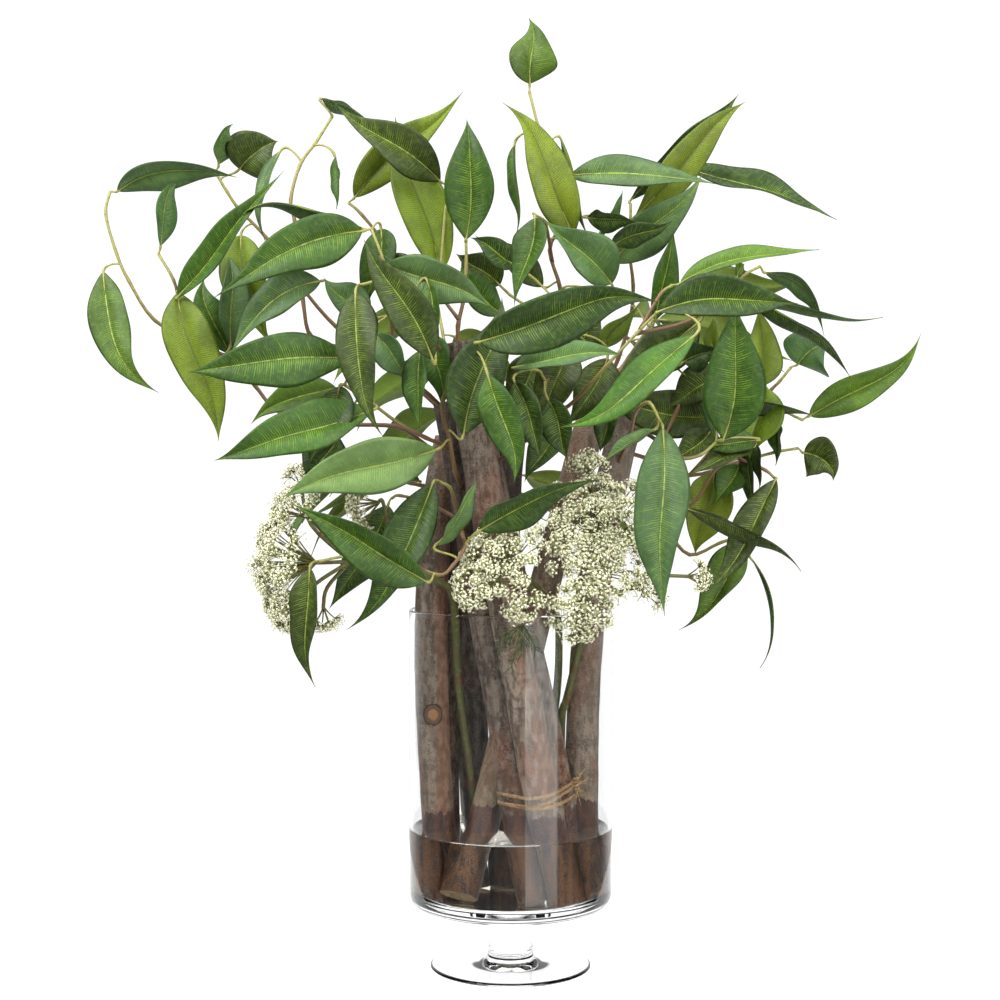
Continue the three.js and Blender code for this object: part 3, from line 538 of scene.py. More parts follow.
def vein_pattern(tree, across, cloud, fine):
    """The comb of side veins, from 0 between them to 1 on them. They are counted along the blade, swept
    forward towards the margin, and each one ends at its own random distance from the midrib."""
    grit = tree.noise(tree.place(), 1100.0, 2.0)
    lit = tree.mark("lit")
    step = tree.mark("along") * tree.mark("veins") - across * VEIN_SWEEP
    step = step + tree.mark("shift") + (fine - 0.5) * 0.55 + (grit - 0.5) * 0.45
    ridge = abs(step.fraction() - 0.5)
    draw = tree.node("ShaderNodeTexWhiteNoise", {"noise_dimensions": "1D"}, {1: (step + 0.5).floor()})
    reach = 0.2 + draw * 0.85
    comb = (1.0 - across.between(reach * 0.3, reach)) * (0.3 + cloud.between(0.35, 0.6) * 0.7)
    comb = comb + (1.0 - comb) * lit * 0.65
    return ridge.between(0.22, 0.44) * across.between(0.0, 0.05) * (comb * 0.88 + 0.12), grit


def leaf_finish(tree):
    across, under, lit = abs(tree.mark("across")), tree.mark("under"), tree.mark("lit")
    tint = tree.mark("tint", "Color")
    cloud = tree.noise(tree.place(), 42.0, 3.0)
    fine = tree.noise(tree.place(), 320.0, 3.0)
    vein, grit = vein_pattern(tree, across, cloud, fine)
    distance = across * tree.mark("half")
    middle = (1.0 - distance.between(0.3, 0.75)) * (0.45 + fine.between(0.38, 0.58) * 0.55)
    gutter = (1.0 - distance.between(0.6, 1.7)) * (1.0 - middle)
    darker = tree.mix(0.6, tint, shown(14, 36, 8))
    paler = tree.mix(0.72, tint, shown(170, 206, 62))
    vein_colour = tree.mix(lit, paler, shown(66, 94, 18))
    midrib_colour = tree.mix(lit, tree.mix(0.5, paler, shown(206, 220, 110)), shown(92, 92, 34))
    ground = tree.mix(cloud.between(0.6, 0.36) * 0.6 + across.between(0.45, 0.95) * 0.25, tint, darker)
    ground = tree.coats(ground, [(fine, 0.42, 0.75, 0.16, paler), (grit, 0.48, 0.3, 0.5, darker)])
    ground = tree.mix(vein * 0.7, ground, vein_colour)
    # Painted shade: the groove on each side of the midrib, the gutter, is darkened.
    ground = tree.mix(gutter * 0.35, ground, darker)
    ground = tree.mix(middle * 0.85, ground, midrib_colour)
    ground = tree.mix(under * 0.45, ground, shown(150, 172, 62))
    ground = tree.coats(ground, [
        (across, 0.94, 1.0, 0.14, shown(150, 172, 80)),
        (tree.mark("along"), 0.955, 0.99, 0.85, shown(110, 76, 40)),
    ])
    return {"Base Color": ground, "Roughness": 0.42 + cloud * 0.2 + under * 0.15,
            "Normal": tree.bump(vein * 0.5 + middle + fine * 0.5, 0.3, 0.0006)}


def twig_finish(tree):
    speck = tree.noise(tree.place(), 320.0, 3.0)
    skin = tree.coats(shown(132, 96, 56), [
        (tree.mark("along"), 0.25, 0.9, 1.0, shown(176, 176, 88)),
        (speck, 0.5, 0.7, 0.5, shown(112, 86, 44)),
    ])
    return {"Base Color": skin, "Roughness": 0.5, "Normal": tree.bump(speck, 0.25, 0.0006)}


leaf_material = finish("leaf_finish", leaf_finish, **{"Specular IOR Level": 0.26})
twig_material = finish("twig_finish", twig_finish)
print("finishes so far:", len(bpy.data.materials))

# %% [markdown]
# ## Where everything stands
# The sticks, the sprays and the flowers are listed here in millimetres. A point in the lists is its
# place in the front view, x and z, and its depth behind the axis of the vase. A stick has a radius and
# three points. A leaf has its base, its tip, its width, its arch, its turn, a letter for its tone, and
# for some the hook of its tail. The sprays behind have their stick, the height and bearing at which they
# leave it, their reach, their rise and how many leaves they have.

# %% Layout lists
STICKS = {
    "stick_left": (12, [(-49, 61, -8), (-59, 260, -3), (-44, 391, 8)]),
    "stick_left_back": (11.5, [(-47, 61, 20), (-51, 260, 27), (-31, 406, 38)]),
    "stick_front": (12.6, [(36, 61, -38), (-2, 260, -45), (-39, 464, -54)]),
    "stick_middle": (11.5, [(15, 61, -20), (-19, 260, -24), (-46, 420, -28)]),
    "stick_leaning": (12, [(-31, 61, -25), (19.2, 260, 40), (70, 437, 80)]),
    "stick_inner": (11, [(49, 61, -12), (8, 260, -8), (-29, 420, 0)]),
    "stick_right": (10.8, [(54, 61, 12), (59.3, 260, 6), (90, 417, 12)]),
    "stick_back": (10.5, [(4, 61, 47), (-5, 260, 53), (0, 391, 62)]),
    "stick_back_left": (10.5, [(-21, 61, 42), (-33, 260, 49), (-30, 398, 63)]),
}

SPRAYS = {
    "spray_far_left": dict(stick="stick_left", height=376, twigs=[
        [
            (-64, 388, -4), (-84, 401, -14), (-123, 403, -20), (-156, 408, -18), (-175, 414, -14),
            (-190, 432, -10), (-207, 451, -8), (-231, 462, -8), (-264, 480, -8), (-283, 509, -10),
            (-292, 529, -10), (-300, 558, -8), (-297, 575, -6),
        ],
        [
            (-234, 463, -8), (-245, 492, -14), (-250, 510, -16), (-261, 529, -12),
        ],
    ], leaves=[
        (-297, 577, -4, -203, 588, -20, 28, 9, 35, "g"),
        (-262, 531, -12, -248, 587, -18, 24, 3, 50, "g"),
        (-302, 516, -12, -263, 424, -34, 30, -12, 15, "l", 3),
        (-254, 505, -18, -213, 391, -34, 38, -1, 12, "y"),
        (-247, 497, -24, -164, 586, -46, 26, 4, -30, "m"),
        (-208, 462, -4, -211, 532, 10, 28, -3, 30, "g"),
        (-208, 455, -2, -231, 512, 4, 30, 3, 20, "m"),
    ]),
    "spray_left_top": dict(stick="stick_left_back", height=392, twigs=[
        [
            (-50, 412, 34), (-82, 440, 34), (-127, 473, 30), (-156, 506, 30), (-180, 540, 26),
            (-201, 562, 22), (-210, 575, 20), (-219, 590, 18),
        ],
    ], leaves=[
        (-201, 592, 24, -173, 614, 14, 42, 2, 0, "o"),
        (-224, 593, 18, -207, 627, 8, 28, 4, 50, "g"),
        (-200, 543, 24, -181, 458, 14, 38, -3, 8, "y"),
    ]),
    "spray_upper_left": dict(stick="stick_middle", height=408, twigs=[
        [
            (-60, 424, -40), (-82, 442, -48), (-119, 458, -47), (-147, 467, -44), (-154, 495, -44),
            (-160, 553, -40), (-163, 569, -38), (-156, 595, -34), (-144, 612, -30),
            (-132, 631, -26),
        ],
        [
            (-86, 443, -48), (-90, 495, -62), (-94, 523, -66), (-103, 547, -62),
        ],
    ], leaves=[
        (-140, 644, -26, -106, 625, -20, 20, 4, 60, "g"),
        (-170, 606, -30, -178, 538, -24, 18, -11, 62, "g"),
        (-130, 601, -36, -127, 562, -36, 18, 1, 66, "m"),
        (-98, 549, -60, -205, 562, -50, 24, -9, -64, "m"),
        (-110, 546, -66, -219, 493, -84, 38, -10, 12, "m"),
        (-141, 509, -62, -210, 453, -72, 30, -10, 30, "g"),
        (-104, 483, -52, -140, 511, -46, 28, 2, 25, "g"),
        (-96, 548, -40, -110, 488, -46, 28, 3, 20, "m"),
    ]),
    "spray_left": dict(stick="stick_middle", height=380, twigs=[
        [
            (-49, 387, -48), (-63, 393, -62), (-82, 403, -72), (-101, 417, -74), (-123, 432, -70),
        ],
    ], leaves=[
        (-118, 451, -82, -241, 441, -104, 38, -4, 15, "m"),
        (-101, 414, -84, -217, 369, -110, 38, -4, 20, "m"),
        (-127, 431, -76, -152, 373, -90, 32, 2, 20, "d"),
        (-123, 436, -66, -196, 405, -70, 26, -4, 35, "l"),
        (-127, 393, -60, -149, 358, -66, 38, -2, 10, "d"),
    ]),
    "spray_centre_left": dict(stick="stick_front", height=444, twigs=[
        [
            (-54, 460, -70), (-62, 475, -76), (-75, 495, -78), (-93, 509, -78), (-112, 506, -80),
        ],
    ], leaves=[
        (-115, 500, -92, -101, 391, -112, 32, -4, 15, "o"),
        (-58, 451, -104, -113, 538, -118, 32, -4, 10, "o"),
        (-100, 469, -70, -75, 436, -80, 24, 1, 25, "g"),
        (-93, 521, -70, -14, 489, -84, 34, 3, 15, "g"),
        (-62, 510, -82, -55, 454, -92, 22, 1, 35, "m"),
        (-67, 458, -88, -70, 400, -100, 22, 0, 35, "m"),
        (-64, 497, -46, -112, 527, -40, 36, -3, 10, "o"),
        (-60, 470, -60, -50, 412, -66, 26, 2, 20, "m"),
    ]),
    "spray_upper_middle": dict(stick="stick_front", height=456, twigs=[
        [
            (-39, 476, -54), (-35, 495, -52), (-33, 519, -52), (-33, 540, -56),
        ],
        [
            (-38, 480, -54), (-52, 500, -48), (-52, 515, -44), (-47, 580, -40),
        ],
        [
            (-50, 495, -50), (-82, 525, -20), (-110, 558, -10), (-120, 567, -8),
        ],
    ], leaves=[
        (-47, 580, -42, -135, 639, -66, 34, -3, 15, "o"),
        (-120, 567, -8, -32, 648, 6, 30, 3, 10, "y"),
        (-52, 515, -36, -84, 633, -26, 38, 2, 10, "y"),
        (-33, 540, -66, -30, 630, -74, 38, -2, 0, "m"),
    ]),
    "spray_top": dict(stick="stick_back", height=380, twigs=[
        [
            (14, 406, 54), (31, 436, 40), (37, 473, 24), (37, 503, 4), (29, 532, 2), (38, 553, 0),
            (41, 581, 0), (34, 599, 0), (22, 620, 0), (14, 649, 0),
        ],
        [
            (31, 523, 3), (26, 551, -24), (17, 559, -34),
        ],
    ], leaves=[
        (14, 650, 0, 16, 705, -6, 36, -1, 5, "l"),
        (46, 543, -14, 0, 646, -18, 34, -3, 10, "y"),
        (3, 610, 6, 6, 541, 10, 22, 1, 72, "m"),
        (37, 615, 4, 56, 540, 14, 22, 2, 72, "m"),
        (44, 587, -10, 153, 581, -34, 28, 4, -35, "g"),
        (18, 556, -40, 0, 492, -56, 28, 3, 25, "m"),
        (75, 507, -30, 22, 553, -48, 38, -3, 10, "g"),
        (24, 505, 8, -28, 540, 2, 26, -3, 25, "o"),
    ]),
    "spray_upper_right": dict(stick="stick_leaning", height=404, twigs=[
        [
            (68, 424, 46), (80, 452, 42), (89, 482, 42), (91, 506, 34), (88, 532, 26),
            (89, 553, 22), (89, 566, 24),
        ],
        [
            (89, 540, 24), (107, 577, 34), (126, 595, 38),
        ],
    ], leaves=[
        (89, 569, 34, 173, 644, 44, 26, 4, 40, "d"),
        (87, 553, 18, 170, 647, 10, 28, -1, 15, "y"),
        (75, 523, 4, 145, 588, -8, 34, -1, 15, "g"),
        (126, 595, 34, 239, 549, 14, 26, 7, -45, "d"),
        (57, 556, -2, 96, 550, -16, 20, 2, 30, "d"),
        (75, 535, -14, 122, 551, -26, 20, 2, 30, "d"),
        (64, 540, 22, 85, 575, 26, 16, 1, 62, "g"),
        (107, 480, 0, 119, 549, -6, 24, -2, 25, "m"),
    ]),
    "spray_right": dict(stick="stick_inner", height=388, twigs=[
        [
            (0, 400, -12), (22, 412, -24), (39, 414, -36), (55, 428, -48), (70, 445, -58),
            (96, 473, -64), (109, 486, -68),
        ],
        [
            (93, 470, -62), (133, 480, -50), (162, 503, -40), (174, 514, -36), (185, 520, -32),
        ],
        [
            (96, 473, -64), (111, 499, -56), (120, 506, -52),
        ],
    ], leaves=[
        (120, 506, -54, 231, 534, -58, 20, 6, -48, "l"),
        (184, 519, -30, 228, 468, -22, 18, 15, 42, "g"),
        (168, 504, -38, 174, 522, -34, 14, 1, 50, "l"),
        (109, 486, -74, 215, 493, -88, 34, 6, -15, "d"),
        (167, 505, -40, 251, 436, -30, 20, 9, 62, "d"),
        (174, 492, -36, 274, 475, -24, 16, 4, 66, "g"),
        (137, 469, -102, 39, 393, -120, 28, 3, 25, "b"),
        (139, 478, -20, 72, 420, -48, 38, -3, 10, "o"),
    ]),
    "spray_far_right": dict(stick="stick_right", height=384, twigs=[
        [
            (103, 377, 16), (133, 365, 20), (170, 375, 14), (196, 382, 8), (213, 385, 4),
        ],
        [
            (133, 365, 20), (156, 391, 20), (174, 406, 14), (196, 414, 8), (217, 406, 0),
        ],
        [
            (174, 406, 14), (193, 428, 14), (199, 434, 12), (208, 445, 10),
        ],
    ], leaves=[
        (207, 447, 10, 237, 462, -6, 44, 4, 5, "g"),
        (217, 406, -4, 309, 466, -24, 29, -5, 15, "l", 6),
        (129, 430, 8, 227, 406, -4, 24, 3, 52, "o"),
        (189, 430, 10, 174, 375, 0, 36, 1, 10, "y"),
        (213, 385, 2, 244, 363, -10, 32, 4, 5, "o", -5),
        (199, 405, 4, 197, 372, 4, 18, 1, 55, "m"),
    ]),
    "spray_right_middle": dict(stick="stick_right", height=402, twigs=[
        [
            (101, 396, -8), (112, 388, -30), (126, 378, -46), (141, 380, -54), (153, 390, -54),
        ],
        [
            (112, 388, -30), (122, 410, -26), (136, 436, -18), (156, 437, -14),
        ],
    ], leaves=[
        (158, 392, -64, 170, 497, -72, 46, -3, 5, "m"),
        (184, 430, -30, 186, 492, -30, 28, -2, 22, "y"),
        (150, 458, -34, 151, 486, -34, 22, 1, 35, "y"),
        (157, 432, -34, 150, 391, -42, 24, 1, 25, "g"),
        (183, 391, -46, 141, 388, -50, 22, 1, 35, "m"),
        (156, 410, -20, 66, 421, -8, 38, 4, 15, "o"),
        (128, 449, -46, 157, 458, -56, 26, 2, 20, "d"),
        (160, 438, -26, 116, 414, -20, 30, -3, 15, "o"),
        (150, 400, -30, 116, 372, -36, 26, 2, 20, "o"),
        (74, 414, -20, 66, 382, -24, 20, 1, 20, "d"),
    ]),
    "spray_lower_right": dict(stick="stick_right", height=346, twigs=[
        [
            (96, 343, 2), (115, 325, -4), (133, 306, -10), (156, 315, -14), (176, 321, -16),
        ],
        [
            (96, 343, 2), (133, 343, -16), (152, 369, -24), (169, 378, -26), (179, 386, -28),
        ],
        [
            (169, 378, -26), (189, 369, -30), (197, 362, -30),
        ],
    ], leaves=[
        (197, 362, -36, 147, 278, -52, 26, 4, 20, "o"),
        (176, 317, -14, 128, 247, -26, 32, 6, 20, "l"),
        (130, 341, -40, 220, 298, -60, 18, 4, 45, "o"),
        (178, 304, -14, 192, 219, -10, 9, 10, 68, "m", -7),
        (174, 391, -20, 179, 332, -24, 20, 1, 60, "d"),
        (182, 388, -34, 187, 354, -38, 18, 1, 60, "d"),
        (179, 386, -44, 132, 365, -58, 24, -1, 50, "o"),
        (170, 373, -14, 152, 343, -20, 26, 1, 15, "m"),
        (152, 369, 0, 133, 307, -4, 38, 2, 5, "y"),
    ]),
    "spray_front_right": dict(stick="stick_right", height=366, twigs=[
        [
            (88, 392, -22), (93, 412, -60), (103, 419, -88), (112, 403, -98),
        ],
    ], leaves=[
        (113, 400, -106, 120, 261, -126, 38, -4, 0, "g", -5),
        (107, 399, -86, 68, 375, -92, 18, -1, 60, "g"),
    ]),
    "spray_front": dict(stick="stick_middle", height=352, twigs=[
        [
            (-41, 368, -56), (-45, 391, -68), (-51, 417, -74), (-41, 440, -84), (-23, 462, -96),
        ],
    ], leaves=[
        (-17, 440, -108, 5, 358, -114, 28, 3, 15, "m"),
        (-35, 395, -92, 1, 495, -84, 40, 3, 5, "d"),
        (-23, 464, -118, 110, 504, -140, 40, 3, 5, "d"),
        (-55, 384, -84, -169, 346, -112, 38, -4, -10, "w"),
    ]),
    "spray_centre_right": dict(stick="stick_inner", height=370, twigs=[
        [
            (2, 384, -14), (14, 394, -30), (20, 414, -44), (26, 432, -54), (22, 442, -62),
        ],
        [
            (26, 432, -54), (37, 458, -44), (48, 469, -40),
        ],
    ], leaves=[
        (28, 421, -72, 41, 376, -80, 28, 2, 20, "d"),
        (3, 434, -78, 23, 376, -86, 26, 2, 20, "d"),
        (3, 521, -20, -30, 542, -30, 24, -1, 25, "d"),
        (-8, 506, -4, -41, 529, -12, 28, -1, 15, "o"),
        (3, 445, -70, 85, 454, -84, 28, 4, -40, "g"),
        (67, 459, -20, 96, 493, -26, 20, 1, 40, "y"),
        (49, 458, -6, 70, 489, -8, 28, 1, 20, "o"),
        (45, 462, -50, 22, 398, -44, 34, -2, 10, "o"),
        (72, 452, -24, 42, 400, -20, 34, 2, 10, "o"),
        (20, 458, -40, -2, 402, -36, 32, 1, 12, "o"),
        (-6, 484, -10, -40, 522, -16, 24, 2, 15, "m"),
        (34, 398, -40, 8, 362, -44, 26, 2, 20, "d"),
    ]),
    "spray_lower_left": dict(stick="stick_middle", height=318, twigs=[
        [
            (-38, 332, -50), (-42, 347, -62), (-45, 356, -70), (-52, 360, -74),
        ],
        [
            (-38, 332, -50), (-36, 322, -80), (-34, 312, -94), (-43, 298, -98), (-54, 291, -98),
            (-82, 302, -88), (-119, 305, -88), (-143, 301, -92),
        ],
        [
            (-38, 332, -50), (-60, 344, -34), (-82, 350, -24), (-88, 348, -20),
        ],
    ], leaves=[
        (-58, 359, -82, -115, 244, -84, 36, 4, 10, "d"),
        (-62, 286, -106, -165, 341, -118, 36, -3, -15, "m"),
        (-56, 313, -94, -23, 362, -98, 20, -2, 55, "g"),
        (-23, 324, -98, 68, 364, -106, 28, 4, 30, "d"),
        (-89, 347, -16, -136, 264, -18, 34, 3, 10, "d"),
        (-149, 296, -100, -147, 206, -100, 26, -4, 35, "o", 2),
    ]),
}

BACK_SPRAYS = {
    "spray_back_left": dict(stick="stick_left_back", height=352, bearing=-90, reach=76, rise=18, leaves=5),
    "spray_back_middle": dict(stick="stick_back_left", height=376,
                              bearing=-20, reach=74, rise=126, leaves=5),
    "spray_back": dict(stick="stick_back", height=336, bearing=8, reach=86, rise=34, leaves=5),
    "spray_back_right": dict(stick="stick_leaning", height=424, bearing=46, reach=84, rise=88, leaves=6),
}

FLOWERS = {
    "flower_left": dict(stem=[
        (-22, 62, 20), (-29, 135, 6), (-38, 206, -8), (-41, 260, -20), (-45, 280, -32),
        (-64, 291, -42), (-90, 299, -46), (-119, 301, -48),
    ], heads=[
        dict(radius=39, middle=(-172, 302, -60), stalk=[(-119, 301, -48), (-142, 300, -49)]),
        dict(radius=21, middle=(-161, 345, -73),
             stalk=[(-119, 301, -48), (-134, 317, -56), (-147, 331, -64)]),
        dict(radius=22, middle=(-168, 264, -56),
             stalk=[(-119, 301, -48), (-140, 288, -49), (-153, 277, -51)]),
        dict(radius=18, middle=(-112, 340, -42), stalk=[(-90, 299, -46), (-91, 325, -40), (-95, 346, -38)]),
        dict(radius=13, middle=(-156, 366, -40),
             stalk=[(-119, 301, -48), (-148, 328, -42), (-155, 354, -38)]),
        dict(radius=12, middle=(-138, 256, -44),
             stalk=[(-119, 301, -48), (-136, 282, -44), (-139, 268, -44)]),
    ]),
    "flower_middle": dict(stem=[
        (22, 62, 16), (24, 135, 10), (34, 200, 4), (36, 242, -4), (34, 262, -22), (26, 276, -52),
    ], heads=[
        dict(radius=36, middle=(-8, 302, -84), stalk=[(26, 276, -52), (12, 290, -66), (0, 295, -72)]),
        dict(radius=17, middle=(-30, 284, -90), stalk=[(26, 276, -52), (4, 284, -70), (-16, 285, -80)]),
        dict(radius=15, middle=(7, 267, -92), stalk=[(26, 276, -52), (18, 274, -76), (10, 273, -84)]),
    ]),
    "flower_right": dict(stem=[
        (42, 65, 30), (38, 135, 24), (38, 184, 2), (42, 200, -6), (53, 246, -16), (58, 272, -26),
        (62, 298, -32),
    ], heads=[
        dict(radius=50, middle=(64, 329, -56), stalk=[(62, 298, -32), (62, 312, -38)]),
        dict(radius=33, middle=(62, 298, -82), stalk=[(58, 272, -26), (60, 286, -44), (61, 292, -58)]),
        dict(radius=26, middle=(52, 263, -86), stalk=[(58, 272, -26), (55, 276, -50), (54, 272, -68)]),
        dict(radius=16, middle=(56, 374, -30), stalk=[(62, 298, -32), (60, 345, -26), (58, 362, -28)]),
        dict(radius=19, middle=(103, 283, -60), stalk=[(60, 285, -29), (76, 278, -42), (91, 281, -50)]),
        dict(radius=11, middle=(141, 290, -43), stalk=[(62, 298, -32), (96, 292, -40), (130, 290, -42)]),
    ]),
}

LEAFLET_ROOT = (9, 254, -82)
LEAFLET_DEPTH = -84
LEAFLET_TIPS = [(-9.3, 241), (-8, 234.5), (0.5, 222), (8, 231.5), (19, 235)]
print("sprays:", len(SPRAYS), "and", len(BACK_SPRAYS), "behind; flowers:", len(FLOWERS))

# %% [markdown]
# ## Sticks
# Nine nearly straight sticks of rough bark lean across each other in the vase and carry the sprays. Each
# is a thick tube about its axis, cut off flat above and below. Flutes, ridges, lumps and the collar of a
# lost side twig come from sums of sines and bell curves, whose phases differ from stick to stick.

# %% Stick shapes
FLOOR = 54.5
CLEAR_OF_FLOOR = 0.7
STICK_ROWS = 150
STICK_SIDES = 44
COLLAR_SIZE, COLLAR_HEIGHT = 5.5, 1.3
KNOT = seen([[-57, 187, -21]])[0]
KNOT_SIZE, KNOT_HEIGHT = 9.5, 2.0
STOUT = {"stick_right": 1.14, "stick_back": 1.16, "stick_back_left": 1.16, "stick_left_back": 1.08}

def stick_axis(name):
    """The three points of a stick's axis, a quadratic curve: its foot stands clear of the glass floor."""
    radius, points = STICKS[name]
    foot, middle, top = seen(points)
    lean = np.hypot(*(middle - foot)[:2]) / (middle[2] - foot[2])
    foot_height = FLOOR + CLEAR_OF_FLOOR + radius * lean
    foot = foot + (middle - foot) * (foot_height - foot[2]) / (middle[2] - foot[2])
    return foot, 2 * middle - foot / 2 - top / 2, top


def axis_at(name, height):
    """The point of a stick's axis at a height, read off a finely divided curve."""
    points, _ = quadratic(*stick_axis(name), np.linspace(0, 1, 400))
    return np.array([np.interp(height, points[:, 2], points[:, k]) for k in range(3)])


def collar(grid, centre, size, height):
    """A bell of a size and height about a centre, with a narrower and lower bell taken out of it."""
    away = np.linalg.norm(grid - centre, axis=-1) / size
    return height * (np.exp(-away**2) - 0.75 * np.exp(-(away * 2.3) ** 2))


def stick_grid(name, order):
    """Rings round the axis, of radius * (1 + broad swell + flutes that run along + lumps + fine grain).
    Two collars, where side twigs were cut off, stand out as a bell with a dent in its middle."""
    t = np.linspace(0, 1, STICK_ROWS)
    path, _ = quadratic(*stick_axis(name), t)
    angle = np.linspace(0, 2 * np.pi, STICK_SIDES, endpoint=False)[None]
    height = path[:, 2:3]
    phase = 1.7 * order
    swell = 0.035 * np.sin(height / 30 + phase) + 0.02 - 0.05 * t[:, None]
    flute = np.sin(3 * angle + height / 60 + phase) + 0.6 * np.sin(7 * angle - height / 31 + 2.3 * phase)
    lump = np.sin(3 * angle + height / 9 + phase) * np.sin(height / 13 - 2 * angle + phase)
    crack = np.abs(np.sin(6 * angle + 1.3 * np.sin(height / 17 + phase) + phase)) ** 0.4
    grain = np.sin(19 * angle + 2.1 * np.sin(height / 7 + phase)) * np.sin(height / 3.1 + 5 * angle)
    relief = 0.02 * flute + 0.014 * lump + 0.016 * crack + 0.005 * grain
    radius = STICKS[name][0]
    grid = tube(path, radius * STOUT.get(name, 1) * (1 + swell + relief), STICK_SIDES)
    lower = (150 + 23 * order % 90, 4.4 + order)
    upper = (290 + 31 * order % 70, 5 + 2 * order)
    for level, bearing in (lower, upper):
        look = np.array([np.cos(bearing), np.sin(bearing), 0])
        centre = axis_at(name, level) + radius * look
        grid = grid + collar(grid, centre, COLLAR_SIZE, COLLAR_HEIGHT)[..., None] * look
    if name == "stick_left":
        grid = grid + collar(grid, KNOT, KNOT_SIZE, KNOT_HEIGHT)[..., None] * np.array([0, -1, 0])
    return grid


print("a stick:", STICK_ROWS, "rings of", STICK_SIDES, "points")

# %% [markdown]
# ## Bark
# The bark is grey-brown and finely mottled, streaked along the stick with red-brown and pale scuffs, and
# ringed here and there. It is darker above the vase, in the shade of the leaves. It is soaked up to a
# ragged line above the water, where it is dark and glossy, and it looks redder under the water. The left
# stick has a red-brown stripe and a healed scar with rings round it.

# %% Bark finish
WATER_LEVEL = 103.5
SOAKED = 118.0
SHADE_FROM, SHADE_FULL = 265.0, 330.0
STRIPE = -49.5

def dry_bark(tree, streak, broad, mottle, fleck, ring):
    dry = tree.coats(shown(116, 90, 72), [
        (streak, 0.38, 0.62, 1.0, shown(192, 168, 146)),
        (broad, 0.5, 0.62, 0.7, shown(184, 118, 84)),
        (mottle, 0.5, 0.62, 0.5, shown(208, 194, 178)),
        (mottle, 0.47, 0.37, 0.65, shown(84, 62, 48)),
        (ring, 0.6, 0.68, 0.5, shown(84, 62, 52)),
        (fleck, 0.58, 0.72, 0.75, shown(214, 202, 186)),
        (fleck, 0.44, 0.32, 0.75, shown(46, 34, 28)),
    ])
    worn = tree.mix(streak.between(0.35, 0.65), shown(160, 130, 100), shown(206, 180, 146))
    return tree.mix(tree.mark("worn") * 0.6, dry, worn)


def scar(tree, skin, fleck):
    """The healed scar: rings of brown about the knot's middle, by the distance from it."""
    away = tree.node("ShaderNodeVectorMath", {"operation": "DISTANCE"},
                     {0: tree.place(), 1: tuple(KNOT * MM)}, output=1)
    away = away * (1 / KNOT_SIZE / MM) + (fleck - 0.5) * 0.25
    return tree.coats(skin, [
        (away, 1.05, 0.75, 0.8, shown(138, 100, 76)),
        (abs(away - 0.82), 0.1, 0.02, 0.9, shown(58, 38, 30)),
        (away, 0.52, 0.4, 1.0, shown(216, 158, 112)),
        (away, 0.2, 0.1, 0.8, shown(120, 70, 44)),
    ])


def bark_finish(tree):
    beside, height = (tree.node("ShaderNodeSeparateXYZ", None, {0: tree.place()}, output=axis) * (1 / MM)
                      for axis in (0, 2))
    streak = tree.noise(tree.stretched(170.0, 170.0, 16.0), 1.0, 6.0)
    broad = tree.noise(tree.stretched(46.0, 46.0, 12.0), 1.0, 2.0)
    mottle = tree.noise(tree.stretched(260.0, 260.0, 130.0), 1.0, 5.0)
    fleck = tree.noise(tree.place(), 700.0, 4.0)
    ring = tree.noise(tree.stretched(7.0, 7.0, 120.0), 1.0, 2.0)
    wet = tree.coats(shown(62, 28, 18), [
        (streak, 0.35, 0.65, 1.0, shown(108, 58, 38)),
        (mottle, 0.52, 0.66, 0.6, shown(140, 88, 58)),
        (fleck, 0.45, 0.33, 0.6, shown(34, 20, 16)),
    ])
    under_water = tree.coats(shown(72, 38, 22), [
        (streak, 0.38, 0.62, 1.0, shown(150, 96, 56)),
        (mottle, 0.5, 0.64, 0.55, shown(160, 112, 64)),
        (fleck, 0.47, 0.34, 0.85, shown(34, 18, 12)),
    ])
    skin = dry_bark(tree, streak, broad, mottle, fleck, ring)
    stripe = abs(beside - STRIPE + (broad - 0.5) * 12.0).between(6.5, 4.0) * tree.mark("striped")
    stripe_colour = tree.mix(mottle.between(0.4, 0.6), shown(150, 88, 58), shown(192, 128, 92))
    skin = tree.mix(stripe * 0.75, skin, stripe_colour)
    shade = tree.mark("shaded") + height.between(SHADE_FROM, SHADE_FULL) * 0.42
    skin = tree.mix(shade, skin, shown(52, 38, 30))
    # Painted light: the front sticks are mixed towards a pale tan for the fuller light that falls on them.
    skin = tree.mix(tree.mark("pale"), skin, shown(196, 180, 160))
    line = height + (mottle - 0.5) * 12.0 + (broad - 0.5) * 14.0 - tree.mark("order") * 0.8
    soaked = line.between(SOAKED + 0.6, SOAKED - 0.6)
    skin = tree.mix(soaked, skin, wet)
    skin = tree.mix(height.between(WATER_LEVEL + 1.0, WATER_LEVEL - 1.0), skin, under_water)
    skin = scar(tree, skin, fleck)
    groove = streak * 0.6 + mottle * 0.5 + fleck * 0.7 + ring * 0.4
    return {"Base Color": skin, "Roughness": 0.85 - 0.5 * soaked, "Normal": tree.bump(groove, 1.0, 0.0022)}


def cut_finish(tree):
    grain = tree.noise(tree.place(), 260.0, 4.0)
    wood = tree.mix(grain.between(0.35, 0.65), shown(150, 120, 84), shown(198, 172, 132))
    return {"Base Color": wood, "Roughness": 0.8, "Normal": tree.bump(grain, 0.4, 0.0008)}


bark_material = finish("bark_finish", bark_finish)
cut_material = finish("cut_wood_finish", cut_finish)
print("finishes so far:", len(bpy.data.materials))

# %% [markdown]
# ## The sticks in place
# Every stick is one piece, which stands for the plain stick of its name. The marks on it give the finish
# the stick's number, so that the wet line is not level from stick to stick, and say which sticks stand in
# the shade of others and get painted shade, which stand in front in the light and get painted light, which
# is worn and which is striped.

